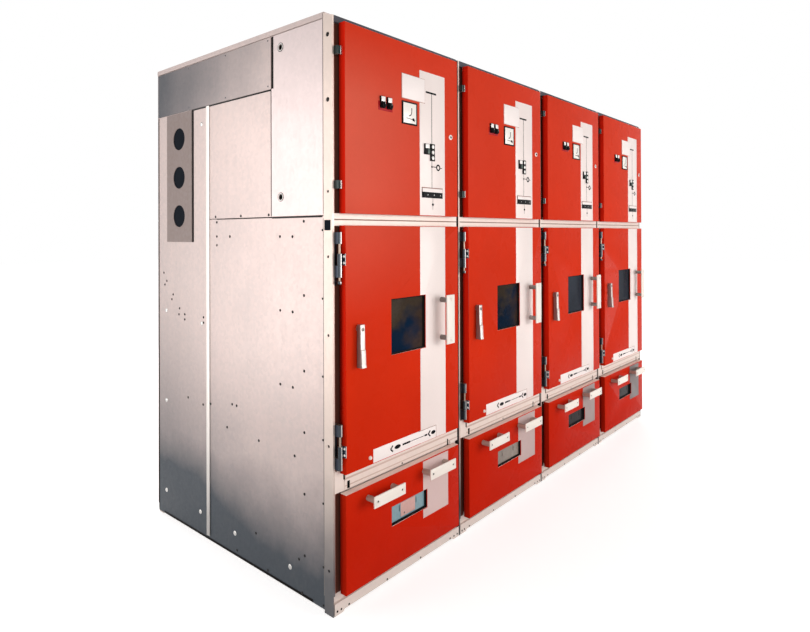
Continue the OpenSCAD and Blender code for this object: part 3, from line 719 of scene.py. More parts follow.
FINISHES = {
    # The zinc finishes carry painted shade near the floor: less on the rear covers and frame, more towards
    # the back on the duct covers.
    "zinc_sheet": lambda n: zinc(n, steel().zinc, 0.45, 0.65),
    "zinc_rear": lambda n: zinc(n, steel().zinc, 0.45, 0.65, floor_painted_shade=0.25),
    "zinc_duct": lambda n: zinc(n, steel().zinc, 0.45, 0.65, back_painted_shade=0.92),
    "zinc_cover": lambda n: zinc(n, (0.66, 0.56, 0.55), 0.2, 0.6),
    "zinc_plate": lambda n: zinc(n, (0.22, 0.165, 0.15), 0.25, 0.15),
    # Painted highlight: a lighter copy of the zinc for the raised fold strips and the hinge bolts.
    "zinc_seam": lambda n: zinc(n, (0.90, 0.86, 0.82), 0.05, 0.45, floor_painted_shade=0.4),
    "zinc_post": lambda n: zinc(n, (0.68, 0.57, 0.51), 0.15, 0.5, floor_painted_shade=0.9),
    "zinc_frame": lambda n: zinc(n, steel().frame, 0.15, 0.15, floor_painted_shade=0.1),
    "shadow_line": lambda n: skin(n, (0.30, 0.22, 0.18), 0.6, film=0.0, Specular_IOR_Level=0.1),
    "rail_hollow": lambda n: skin(n, (0.62, 0.48, 0.42), 0.5, film=0.1, Specular_IOR_Level=0.2),
    # The red enamel carries painted sheen, painted shade and painted highlights.
    "red_enamel": lambda n: light_painted_enamel(n, enamel().red),
    "dark_red": lambda n: skin(n, (0.42, 0.006, 0.012), 0.35, film=0.05, Specular_IOR_Level=0.1),
    "cream_enamel": lambda n: skin(n, enamel().cream, 0.36, shade=0.04, film=0.08),
    "strip_enamel": lambda n: skin(n, enamel().strip, 0.34, shade=0.04, film=0.06),
    "strip_dusky": dusky_strip,
    "label_white": lambda n: skin(n, (0.94, 0.86, 0.84), 0.45, shade=0.04, film=0.08),
    "rim_shade": lambda n: skin(n, (0.50, 0.30, 0.26), 0.5, film=0.05, Specular_IOR_Level=0.1),
    "black_ink": lambda n: skin(n, enamel().ink, 0.5, film=0.0, Specular_IOR_Level=0.03),
    "black_moulding": lambda n: skin(
        n, (0.008, 0.008, 0.009), 0.38, shade=0.2, film=0.02, Specular_IOR_Level=0.05),
    "cap_black": lambda n: skin(n, (0.006, 0.009, 0.014), 0.5, film=0.0, Specular_IOR_Level=0.02),
    "gasket_rubber": lambda n: skin(n, (0.008, 0.007, 0.007), 0.65, film=0.05, Specular_IOR_Level=0.08),
    "jamb_brown": lambda n: skin(n, (0.36, 0.16, 0.12), 0.6, film=0.1, Specular_IOR_Level=0.1),
    "jamb_dark": lambda n: skin(n, (0.10, 0.032, 0.022), 0.6, film=0.05, Specular_IOR_Level=0.05),
    "hinge_steel": lambda n: metal(n, steel().hinge, 0.38),
    "small_hinge_steel": lambda n: metal(n, (0.030, 0.040, 0.040), 0.38),
    "knuckle_steel": side_lit_steel,
    "bright_steel": lambda n: metal(n, steel().bright, 0.26),
    "pin_steel": lambda n: metal(n, (0.36, 0.27, 0.21), 0.36),
    "post_steel": lambda n: metal(n, (0.16, 0.145, 0.135), 0.40),
    "handle_post": lambda n: metal(n, (0.30, 0.26, 0.24), 0.40),
    "cover_post": lambda n: skin(n, (0.50, 0.42, 0.36), 0.5, film=0.1, Specular_IOR_Level=0.2),
    "rivet_steel": lambda n: skin(n, (0.022, 0.021, 0.021), 0.35, film=0.02, Specular_IOR_Level=0.12),
    # Painted shadow for the head rails.
    "head_steel": lambda n: skin(n, (0.10, 0.10, 0.12), 0.5, shade=0.4, film=0.1, Specular_IOR_Level=0.1),
    "lever_alloy": lambda n: metal(n, (0.56, 0.50, 0.47), 0.42),
    "lever_flank": lambda n: metal(n, (0.32, 0.28, 0.26), 0.42),
    "dark_hole": lambda n: skin(n, (0.004, 0.004, 0.004), 0.8, film=0.0, Specular_IOR_Level=0.02),
    "door_glass": reflection_painted_glass,
    "dial_white": lambda n: skin(n, (0.93, 0.90, 0.84), 0.25, shade=0.02, film=0.04, Coat_Weight=0.3),
    "lamp_white": lambda n: skin(n, (0.93, 0.91, 0.88), 0.18, shade=0.03, film=0.03, Coat_Weight=0.3),
    "switch_green": lambda n: skin(n, (0.03, 0.07, 0.05), 0.35, film=0.1),
    "amber_line": lambda n: skin(n, (0.26, 0.10, 0.06), 0.45, film=0.1),
    "pane_blue": lambda n: skin(n, (0.20, 0.36, 0.42), 0.22, shade=0.45, film=0.2, Coat_Weight=0.3),
    "pane_grey": lambda n: skin(n, (0.28, 0.24, 0.20), 0.22, shade=0.35, film=0.2),
    "pane_dark": lambda n: skin(
        n, (0.012, 0.012, 0.014), 0.22, shade=0.35, film=0.06, Specular_IOR_Level=0.06),
    "pane_plate": lambda n: skin(n, (0.68, 0.40, 0.36), 0.30, shade=0.3, film=0.3),
}


def finish(name):
    """The named material, made the first time that it is asked for."""
    title = f"finish_{name}"
    return bpy.data.materials.get(title) or FINISHES[name](title)


# ---- Fixings: modelled once at the origin, looking to the front ------------------


def pan_head(radius, height, slotted=True, material="bright_steel"):
    """Domed screw head, with a slot."""
    ob = rod("pan_head", (0, 0, 0), FRONT * height * 0.55, radius, 20)
    for _ in range(2):
        with shaping(ob, "FACE", facing(FRONT)):
            bpy.ops.mesh.inset(thickness=radius * 0.28)
            bpy.ops.transform.translate(value=FRONT * height * 0.22)
    smooth(ob, 50)
    if slotted:
        slot = block("slot", (-radius, -height * 1.2, -radius * 0.13),
                     (radius, -height * 0.55, radius * 0.13))
        cut(ob, slot)
    return paint(ob, finish(material))


def dome(radius, height, material="bright_steel", sides=14):
    """Round-headed rivet."""
    deselect()
    bpy.ops.mesh.primitive_uv_sphere_add(segments=sides, ring_count=8, radius=radius)
    ob = added("dome")
    with shaping(ob, "FACE", everything):
        bpy.ops.mesh.bisect(plane_co=(0, 0, 0), plane_no=BACK, use_fill=True, clear_outer=True)
    ob.scale.y = height / radius
    settle(ob)
    smooth(ob, 60)
    return paint(ob, finish(material))


def bored(ob, radius, spots):
    """Cuts round bores, 3 mm deep; a spot is a place and the way its face looks."""
    bores = [rod("bore", place - look * 3 * MM, place + look * 1 * MM, radius, 24) for place, look in spots]
    return cut(ob, joined("bores", bores))


def sunk_bolt(radius, material="rivet_steel"):
    """Hexagon head at the bottom of a bore of the given radius, all behind the face, over a dark seat that is
    painted shade in the bore.
    """
    seat = rod("seat", BACK * 2.4 * MM, BACK * 1.9 * MM, radius * 0.98, 24)
    paint(seat, finish("dark_hole"))
    head = rod("sunk_bolt", BACK * 1.9 * MM, BACK * 0.6 * MM, radius * 0.66, 6)
    with shaping(head, "FACE", facing(FRONT)):
        bpy.ops.mesh.inset(thickness=radius * 0.1)
        bpy.ops.transform.translate(value=FRONT * 0.3 * MM)
    return joined("sunk_bolt", [paint(head, finish(material)), seat])


def bolt_hole(radius):
    """Countersink of a sunk screw, painted dark as the shade in it."""
    ob = rod("bolt_hole", (0, 0, 0), FRONT * 0.3 * MM, radius, 20)
    with shaping(ob, "FACE", facing(FRONT)):
        bpy.ops.mesh.inset(thickness=radius * 0.3)
        bpy.ops.transform.translate(value=BACK * 0.25 * MM)
    return paint(ob, finish("dark_hole"))


def flat_ring(name, centre, radius, width, depth, material):
    """Flat ring that stands depth in front of a face."""
    ob = rod(name, centre, centre + FRONT * depth, radius, 40)
    cut(ob, rod("bore", centre + BACK * depth, centre + FRONT * depth * 3, radius - width, 40))
    smooth(ob)
    return paint(ob, finish(material))


def plate_between(name, start, end, width, material="black_ink"):
    """Flat line, 0.35 mm thick, between two places on a face that looks to the front."""
    run = end - start
    ob = block(name, Vector((-width / 2, -0.35, -0.3)) * MM,
               Vector((width / 2, 0, run.length / MM + 0.3)) * MM)
    round_edges(ob, 0.1 * MM)
    ob.rotation_euler.y = math.atan2(run.x, run.z)
    ob.location = start
    return paint(settle(ob), finish(material))


def plate(name, face, x, z, out, radius=0.3, material="label_white"):
    """Plate on a door face; x, z and out are its two limits in mm."""
    ob = block(name, face.point(x[0], z[0], out[0]), face.point(x[1], z[1], out[1]))
    round_edges(ob, radius * MM, segments=2)
    return paint(ob, finish(material))


# ---- Operators -------------------------------------------------------------------


class PieceOperator(bpy.types.Operator):
    """Common part of the operators: each builds its pieces in build()."""

    bl_options = {"REGISTER", "UNDO"}

    def execute(self, context):
        self.build()
        deselect()
        return {"FINISHED"}


class SWITCHGEAR_OT_steelwork(PieceOperator):
    """Gives the galvanised bodies, the frame and the closed openings their finish"""

    bl_idname = "switchgear.steelwork"
    bl_label = "Galvanised steelwork"

    def build(self):
        sheets = ("end_wall_sheets", "roof_plates", "side_walls", "inner_walls", "compartment_shelves",
                  "floor_plates")
        bars = ("base_rails", "base_side_rails", "door_frames", "upper_rails", "lower_rails")
        for node in sheets:
            dress(node, finish("zinc_sheet"))
        dress("end_duct_covers", finish("zinc_duct"))
        dress("end_box_plates", finish("zinc_cover"))
        # The head rails' dark finish is painted shadow above the doors.
        dress("head_rails", finish("head_steel"))
        dress("end_busbar_plates", finish("zinc_plate"))
        # The fold strips take the lighter zinc as a painted highlight.
        strips = merged_copy("end_fold_strips", "seam_strips")
        round_edges(strips, 1.6 * MM, along(UP), 2)
        on_row(paint(strips, finish("zinc_seam")))
        for node in bars:
            dress(node, finish("zinc_frame"))
        for node in ("column_plugs", "end_busbar_caps"):
            dress(node, finish("cap_black"))


class SWITCHGEAR_OT_seals(PieceOperator):
    """Fills the gaps between the bodies with black strips that also stand as painted shade, lays painted
    reflection and painted shade on the jambs at the hinge sides of the doors, and painted shade lines on the
    rails
    """

    bl_idname = "switchgear.seals"
    bl_label = "Seals"

    def strip(self, name, x, y, z, material="gasket_rubber", radius=0.6):
        """Strip in the first cubicle; x and y are its limits in mm, z in metres."""
        ob = block(name, (ROW_LEFT + x[0] * MM, FRAME_Y + y[0] * MM, z[0]),
                   (ROW_LEFT + x[1] * MM, FRAME_Y + y[1] * MM, z[1]))
        round_edges(ob, radius * MM, along(UP), 2)
        return paint(ob, finish(material))

    def build(self):
        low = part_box("floor_plates")[0].z
        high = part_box("head_rails")[1].z
        body_right = (first_box("head_rails")[1].x - ROW_LEFT) / MM
        pitch = PITCH / MM
        # Black rubber strips fill the open gaps between the cubicles; their black also stands as painted
        # shade in the gaps.
        gaps = []
        for k in range(CUBICLES):
            post = 9.8 if k == CUBICLES - 1 else 0.8
            x = (k * pitch + body_right + 0.8, (k + 1) * pitch - post)
            gaps.append(self.strip("gap_seal", x, (1.2, 20), (low, high - 2 * MM)))
        on_row(joined("gap_shade_seals", gaps))

        # Sheets on the jambs beside the doors: brown painted reflection of the red door near the post, then
        # painted shade behind the door's edge.
        door_left = (INSTRUMENT.left - ROW_LEFT) / MM
        strips = []
        for face in (INSTRUMENT, BREAKER, COVER):
            z = (face.bottom + 1 * MM, face.bottom + (face.height - 1) * MM)
            strips.append(self.strip("jamb_face", (9.8, 22), (11, 11.9), z, "jamb_brown", 0.2))
            strips.append(self.strip("jamb_face", (22, door_left + 14), (11, 11.9), z, "jamb_dark", 0.2))
        on_row(in_every_cubicle(joined("jamb_shade_sheets", strips)))

        middle = (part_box("upper_rails")[0].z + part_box("upper_rails")[1].z) / 2
        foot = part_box("lower_rails")[0].z
        # Painted shade: thin darker lines on the rails where their grooves and steps lie in shade.
        shade_lines = []
        for z, half, material in ((middle, 2.5, "shadow_line"), (foot + 20 * MM, 2.5, "rail_hollow"),
                                  (foot + 47 * MM, 3.5, "rail_hollow")):
            x = (60 if z < middle else 10, body_right - 2)
            shade_lines.append(self.strip("rail_bead", x, (-0.4, 1), (z - half * MM, z + half * MM), material, 0.2))
        on_row(in_every_cubicle(joined("rail_shade_lines", shade_lines)))


class SWITCHGEAR_OT_doors(PieceOperator):
    """Rounds the folded edges of the doors and covers and enamels them"""

    bl_idname = "switchgear.doors"
    bl_label = "Enamelled doors and covers"

    def blacken_reveals(self, pan, low, high, index):
        """Gives the sides of a window's opening another material; the pane laps behind its collar."""

        def in_opening(face):
            x = (face.center.x - ROW_LEFT) % PITCH + ROW_LEFT
            across = low.x < x < high.x and low.z < face.center.z < high.z
            return across and INSTRUMENT.y + 2 * MM < face.center.y < low.y and abs(face.normal.y) < 0.1

        # The near-black on the reveals is painted shade.
        paint_faces(pan, index, in_opening)

    def build(self):
        radius = enamel().edge

        def folded(a, b):
            return abs(a.y - INSTRUMENT.y) < 0.01 * MM and abs(b.y - INSTRUMENT.y) < 0.01 * MM

        fixed_pans = (("instrument_doors", "instrument_door_pans"), ("cable_covers", "cable_cover_pans"))
        for node, name in fixed_pans:
            pans = round_edges(merged_copy(node, name), radius, folded, 3)
            on_row(paint(pans, finish("red_enamel"), finish("gasket_rubber")))
        self.blacken_reveals(pans, *first_box("cable_windows"), 1)
        for k in range(1, CUBICLES + 1):
            pan = round_edges(merged_copy(f"breaker_door_{k}", f"breaker_door_pan_{k}"), radius, folded, 3)
            paint(pan, finish("red_enamel"), finish("gasket_rubber"), finish("hinge_steel"),
                  finish("knuckle_steel"), finish("bright_steel"))
            edge = BREAKER.left + (k - 1) * PITCH
            self.blacken_reveals(pan, *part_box("door_window_1"), 1)
            paint_faces(pan, 2, lambda face: (face.center.x < edge - 0.5 * MM
                                              or face.center.y < BREAKER.y - 0.5 * MM))
            paint_faces(pan, 3, lambda face: face.center.x < edge - 9 * MM)
            paint_faces(pan, 4, lambda face: face.center.y < BREAKER.y - 1.5 * MM)
            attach(pan, f"door_{k}")


class SWITCHGEAR_OT_handles(PieceOperator):
    """Finishes the pull handles and the cover handles with their screws"""

    bl_idname = "switchgear.handles"
    bl_label = "Handles"

    def grips(self, node, name, places, posts):
        """Rounded handles with bores for sunk screws in their plates and posts of their own finish."""
        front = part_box(node)[0].y
        ob = merged_copy(node, name)
        round_edges(ob, 1.2 * MM, lambda a, b: (max(a.y, b.y) < front + 6 * MM
                                                and not a.y > front + 4.9 * MM), 2)
        paint(ob, finish("cream_enamel"), finish(posts))
        paint_faces(ob, 1, lambda face: face.center.y > front + 5.5 * MM)
        return smooth(bored(ob, 4.4 * MM, [(place, FRONT) for place in places]))

    def screws(self, name, places, material):
        sunk = [place + BACK * 2.9 * MM for place in places]
        return scattered(name, pan_head(4.2 * MM, 2.7 * MM, material=material), sunk)

    def build(self):
        for k in range(1, CUBICLES + 1):
            low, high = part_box(f"pull_handle_{k}")
            middle = (low + high) / 2
            places = [Vector((middle.x, low.y, middle.z + s * 83.5 * MM)) for s in (-1, 1)]
            handle = self.grips(f"pull_handle_{k}", f"pull_grip_{k}", places, "handle_post")
            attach(handle, f"door_{k}")
            screws = self.screws(f"pull_grip_screws_{k}", places, "cream_enamel")
            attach(screws, f"door_{k}")

        low, high = first_box("cable_cover_handles")
        z = (low.z + high.z) / 2
        grip_ends = (low.x + 20 * MM, low.x + 160 * MM, high.x - 160 * MM, high.x - 20 * MM)
        places = [Vector((x, low.y, z)) for x in grip_ends]
        every = [place + RIGHT * k * PITCH for k in range(CUBICLES) for place in places]
        on_row(self.grips("cable_cover_handles", "cover_grips", every, "cover_post"))
        screws = self.screws("cover_grip_screws", places, "rivet_steel")
        on_row(in_every_cubicle(screws))


class SWITCHGEAR_OT_levers(PieceOperator):
    """Rounds the lever handles and gives each its lock barrel"""

    bl_idname = "switchgear.levers"
    bl_label = "Lever handles"

    def build(self):
        for k in range(1, CUBICLES + 1):
            low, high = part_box(f"lever_{k}")
            lever = merged_copy(f"lever_{k}", f"lever_grip_{k}")
            round_edges(lever, 2.0 * MM, lambda a, b: max(a.y, b.y) < high.y - 6 * MM, 3)
            paint(lever, finish("lever_alloy"), finish("lever_flank"))
            # Painted shade: the left flanks take a darker copy of the alloy.
            paint_faces(lever, 1, lambda face: face.normal.dot(LEFT) > 0.9)
            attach(lever, f"lever_{k}")
            centre = Vector(((low.x + high.x) / 2, BREAKER.y - 24.2 * MM, high.z - 18 * MM))
            barrel = rod(f"lever_lock_{k}", centre, centre + FRONT * 2.2 * MM, 7.5 * MM, 28)
            round_edges(barrel, 0.6 * MM, lambda a, b: max(a.y, b.y) < centre.y - 2 * MM)
            key_slot = block("slot", centre + Vector((-8, -4, -1.1)) * MM,
                             centre + Vector((8, -0.8, 1.1)) * MM)
            key_slot.data.transform(Matrix.Translation(-centre))
            key_slot.data.transform(Matrix.Rotation(math.radians(-55), 4, "Y"))
            key_slot.data.transform(Matrix.Translation(centre))
            cut(barrel, key_slot)
            paint(barrel, finish("post_steel"))
            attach(barrel, f"lever_{k}")


class SWITCHGEAR_OT_hinges(PieceOperator):
    """Finishes the heavy and the small hinges and adds their bolts"""

    bl_idname = "switchgear.hinges"
    bl_label = "Hinges"

    def build(self):
        heavy = merged_copy("frame_hinges", "frame_hinge_leaves")
        axis_x = first_box("frame_hinges")[0].x + 9 * MM
        axis_y = FRAME_Y - 18 * MM
        round_edges(heavy, 0.8 * MM, along(UP), 2)
        paint(heavy, finish("hinge_steel"), finish("knuckle_steel"), finish("pin_steel"))
        paint_faces(heavy, 1, lambda face: face.center.y < axis_y + 4 * MM)

        def on_heavy_pin(face):
            across = (face.center.x - axis_x + PITCH / 2) % PITCH - PITCH / 2
            return math.hypot(across, face.center.y - axis_y) < 4.8 * MM

        paint_faces(heavy, 2, on_heavy_pin)
        on_row(smooth(heavy))

        small = merged_copy("small_hinges", "small_hinge_blocks")
        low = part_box("small_hinges")[0]
        paint(small, finish("small_hinge_steel"), finish("bright_steel"))
        pin_x = low.x + 13 * MM

        def on_pin(face):
            x = (face.center.x - ROW_LEFT) % PITCH + ROW_LEFT
            return x > pin_x

        paint_faces(small, 1, on_pin)
        on_row(smooth(small))

        hinge_run = 169
        tops = (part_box("frame_hinges")[1].z, BREAKER.bottom + (20 + hinge_run) * MM)
        flank = BREAKER.left - 3 * MM
        places = [Vector((flank, BREAKER.y + 5 * MM, top - drop * MM)) for top in tops for drop in (91, 115)]
        # The hinge bolts take the lighter zinc as a painted highlight.
        bolts = scattered("hinge_bolts", turned(dome(5.0 * MM, 3.4 * MM, "zinc_seam"), LEFT), places)
        on_every_door(bolts)
        tail = tops[0] - hinge_run * MM
        seat = FRAME_Y + 8 * MM
        places = [Vector((axis_x - 12 * MM, seat, tail - 4 * MM))]
        bolts = scattered("hinge_tail_bolts", dome(5.2 * MM, 3.6 * MM, "zinc_seam"), places)
        on_row(in_every_cubicle(bolts))
        place = Vector((axis_x - 2 * MM, seat, tail - 17 * MM))
        collar = rod("hinge_tail_nut", place + BACK * 2 * MM, place + FRONT * 4 * MM, 9 * MM, 6)
        collar = paint(collar, finish("hinge_steel"))
        on_row(in_every_cubicle(round_edges(collar, 0.8 * MM)))
        place = Vector((axis_x, FRAME_Y - 18 * MM, tail - 14 * MM))
        nut = paint(rod("hinge_pin_nut", place - UP * 12 * MM, place, 8 * MM, 12), finish("knuckle_steel"))
        on_row(in_every_cubicle(smooth(round_edges(nut, 3 * MM, segments=3))))
        stem = paint(rod("hinge_pin_stem", place, place + UP * 14 * MM, 4 * MM, 16), finish("pin_steel"))
        on_row(in_every_cubicle(smooth(stem)))


class SWITCHGEAR_OT_windows(PieceOperator):
    """Glazes the breaker doors and finishes the cable windows"""

    bl_idname = "switchgear.windows"
    bl_label = "Windows"

    def gasket(self, name, face, x, z, out):
        """Rubber ring inside an opening; x, z and out are its limits in mm."""
        ring = block(name, face.point(x[0], z[0], out[0]), face.point(x[1], z[1], out[1]))
        rim = 5
        hole = block("hole", face.point(x[0] + rim, z[0] + rim, out[0] - 9),
                     face.point(x[1] - rim, z[1] - rim, out[1] + 9))
        cut(ring, hole)
        round_edges(ring, 1.0 * MM, lambda a, b: max(a.y, b.y) < face.point(0, 0, out[1] - 0.1).y)
        return paint(ring, finish("gasket_rubber"))

    def build(self):
        for k in range(1, CUBICLES + 1):
            dress(f"door_window_{k}", finish("door_glass"))
        low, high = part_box("door_window_1")
        left, bottom = BREAKER.local(low)
        right, top = BREAKER.local(high)
        gasket = self.gasket("window_gasket", BREAKER, (left + 12, right - 12),
                             (bottom + 12, top - 12), (-13, -9.5))
        on_every_door(gasket)

        low, high = first_box("cable_windows")
        left, bottom = COVER.local(low)
        right, top = COVER.local(high)
        rim = self.gasket("cable_window_rim", COVER, (left + 12, right - 12),
                          (bottom + 12, top - 12), (-13, -10))
        on_row(in_every_cubicle(rim))
        panes = merged_copy("cable_windows", "cable_window_panes")
        paint(panes, finish("pane_blue"), finish("pane_grey"), finish("pane_dark"))
        paint_faces(panes, 1, lambda face: face.center.x > ROW_LEFT + PITCH)
        paint_faces(panes, 2, lambda face: face.center.x > ROW_LEFT + 2 * PITCH)
        on_row(panes)
        middle_x, middle_z = (left + right) / 2, (bottom + top) / 2
        tag = plate("cable_window_tag", COVER, (middle_x - 46, middle_x + 46), (middle_z - 28, middle_z + 30),
                    (-13, -11.8), 0.4, "pane_plate")
        stud = scattered("cable_window_stud", pan_head(4 * MM, 1.6 * MM, material="post_steel"),
                         [COVER.point(middle_x - 24, middle_z - 17, -11.8)])
        on_row(joined("cable_window_tag", [tag, stud]))


class SWITCHGEAR_OT_strips(PieceOperator):
    """Lays the pale mimic strips down the doors and covers"""

    bl_idname = "switchgear.strips"
    bl_label = "Mimic strips"

    def build(self):
        thick = fittings().strip / MM
        across = (438, 615)
        strip = plate("instrument_strip", INSTRUMENT, across, (2.5, 625), (0, thick), 0.25, "strip_enamel")
        on_row(in_every_cubicle(strip))

        strip = plate("breaker_strip", BREAKER, across, (2.5, BREAKER.height - 2.5), (0, thick), 0.25,
                      "strip_enamel")
        low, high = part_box("door_window_1")
        left, bottom = BREAKER.local(low)
        right, top = BREAKER.local(high)
        notch = block("notch", BREAKER.point(left, bottom + 10, -1), BREAKER.point(right - 10, top - 10, 3))
        on_every_door(cut(strip, notch))

        strip = plate("cover_strip", COVER, (453, 631), (127, 369), (0, thick), 0.25, "strip_enamel")
        low, high = first_box("cable_windows")
        left, bottom = COVER.local(low)
        right, top = COVER.local(high)
        notch = block("notch", COVER.point(left, bottom + 10, -1), COVER.point(right - 10, top - 10, 3))
        strips = in_every_cubicle(cut(strip, notch))
        on_row(paint(strips, finish("strip_dusky")))


class SWITCHGEAR_OT_mimic(PieceOperator):
    """Draws the plain line diagram on the instrument strips"""

    bl_idname = "switchgear.mimic"
    bl_label = "Mimic diagram"

    def build(self):
        base = fittings().strip / MM
        out = (base - 0.1, base + fittings().line / MM)
        line_x = 521.0
        ring_x = 566.0
        parts = []

        def bar(x, z):
            parts.append(plate("mimic_bar", INSTRUMENT, x, z, out, 0.15, "black_ink"))

        bar((480, 553), (534, 542))
        bar((line_x - 1.5, line_x + 1.5), (314, 536))
        bar((line_x - 1.3, line_x + 1.3), (124, 243))
        bar((line_x, ring_x - 12), (214.4, 217.6))
        bar((ring_x + 12, ring_x + 27), (212.4, 215.6))
        bar((line_x + 5.2, line_x + 6.8), (28, 78))
        ring_at = INSTRUMENT.point(ring_x, 215, base - 0.1)
        parts.append(flat_ring("mimic_ring", ring_at, 14.5 * MM, 6.5 * MM, 0.6 * MM, "black_ink"))
        dot_at = INSTRUMENT.point(line_x, 216, base - 0.1)
        dot = rod("mimic_dot", dot_at, dot_at + FRONT * 0.6 * MM, 5 * MM, 20)
        parts.append(paint(dot, finish("black_ink")))
        arrow_at = INSTRUMENT.point(line_x + 6, 50, base - 0.1)
        arrow = rod("mimic_arrow", arrow_at, arrow_at + FRONT * 0.6 * MM, 8 * MM, 4)
        parts.append(paint(arrow, finish("black_ink")))
        on_row(in_every_cubicle(joined("mimic_diagram", parts)))


class SWITCHGEAR_OT_door_labels(PieceOperator):
    """Adds the blank label plates and the symbol bands of the breaker doors"""

    bl_idname = "switchgear.door_labels"
    bl_label = "Labels and symbol bands"

    def chevron(self, x, z, out):
        """Arrow head that points left, of two slanted strokes."""
        strokes = []
        for s in (-1, 1):
            stroke = plate("stroke", BREAKER, (x, x + 20), (z - 3.2, z + 3.2), out, 0.2, "black_ink")
            pivot = BREAKER.point(x + 1, z)
            stroke.data.transform(Matrix.Translation(-pivot))
            stroke.data.transform(Matrix.Rotation(s * math.radians(40), 4, "Y"))
            stroke.data.transform(Matrix.Translation(pivot))
            strokes.append(stroke)
        return strokes

    def build(self):
        labels = merged_copy("label_plates", "blank_label_plates")
        round_edges(labels, 1.0 * MM, segments=2)
        on_row(paint(labels, finish("label_white")))
        low, high = first_box("label_plates")
        rim = block("label_rim", (low.x - 1.5 * MM, high.y - 1.2 * MM, low.z - 2 * MM),
                    (high.x + 2.5 * MM, high.y + 0.3 * MM, high.z + 1.5 * MM))
        on_row(in_every_cubicle(paint(rim, finish("rim_shade"))))

        band = plate("symbol_band", BREAKER, (145, 543), (4, 57), (0, 2.2), 0.5, "label_white")
        on_every_door(band)
        out = (2.1, 2.6)
        z = 30
        parts = [*self.chevron(243, z, out), *self.chevron(486, z, out)]
        for x, half in (((317, 366), 3.8), ((366, 462), 1.2), ((462, 480), 3.8)):
            parts.append(plate("dash", BREAKER, x, (z - half, z + half), out, 0.2, "black_ink"))
        for x, z_pair in (((420, 543), (55.2, 57)), ((541.4, 543), (4, 57))):
            parts.append(plate("outline", BREAKER, x, z_pair, out, 0.2, "amber_line"))
        for x, half in ((287, 19), (522, 15)):
            place = BREAKER.point(x, z, 2.1)
            oval = rod("oval", place, place + FRONT * 0.5 * MM, 8 * MM, 28)
            oval.data.transform(Matrix.Translation(-place))
            oval.data.transform(Matrix.Scale(half / 8, 4, RIGHT))
            oval.data.transform(Matrix.Translation(place))
            parts.append(paint(oval, finish("black_ink")))
        on_every_door(joined("band_symbols", parts))
        knob = scattered("band_stop", dome(8 * MM, 9 * MM, "cream_enamel"), [BREAKER.point(128, 29)])
        on_every_door(knob)


class SWITCHGEAR_OT_meters(PieceOperator):
    """Builds the meters' dials, scales and needles"""

    bl_idname = "switchgear.meters"
    bl_label = "Meters"

    def build(self):
        body = merged_copy("meters", "meter_cases")
        round_edges(body, 1.2 * MM, lambda a, b: min(a.y, b.y) < INSTRUMENT.y - 4.9 * MM, 2)
        on_row(paint(body, finish("black_moulding")))

        low, high = first_box("meters")
        face_y = low.y + 2 * MM
        centre = Vector(((low.x + high.x) / 2, face_y, (low.z + high.z) / 2))
        dial = block("meter_dial", centre + Vector((-42, 0, -42)) * MM, centre + Vector((42, -0.6, 42)) * MM)
        paint(round_edges(dial, 0.15 * MM), finish("dial_white"))
        pivot = centre + Vector((22, -0.5, -24)) * MM
        parts = [dial]

        def spoke(near, far, width, angle):
            """Flat mark that points away from the pivot; the angle is turned from straight up to the left."""
            mark = block("mark", Vector((-width / 2, -0.35, near)) * MM, Vector((width / 2, 0, far)) * MM)
            round_edges(mark, 0.1 * MM)
            mark.rotation_euler.y = -math.radians(angle)
            mark.location = pivot
            settle(mark)
            parts.append(paint(mark, finish("black_ink")))

        spoke(-14, 44, 2.6, 87)
        spoke(-3, 15, 3.4, -123)
        bend = pivot + Vector((-28, 0, 31)) * MM
        parts.append(plate_between("scale", bend + RIGHT * 18 * MM, bend + Vector((18, 0, 16)) * MM, 4.5))
        turns = [math.radians(15 * step) for step in range(7)]
        ends = [bend + Vector((math.cos(turn), 0, -math.sin(turn))) * 18 * MM for turn in turns]
        for start, end in zip(ends, ends[1:]):
            parts.append(plate_between("scale", start, end, 4.5))
        hub = rod("meter_hub", pivot, pivot + FRONT * 1.6 * MM, 6 * MM, 28)
        round_edges(hub, 0.4 * MM, lambda a, b: max(a.y, b.y) < pivot.y - 1.5 * MM)
        parts.append(paint(hub, finish("black_moulding")))
        on_row(in_every_cubicle(joined("meter_dials", parts)))


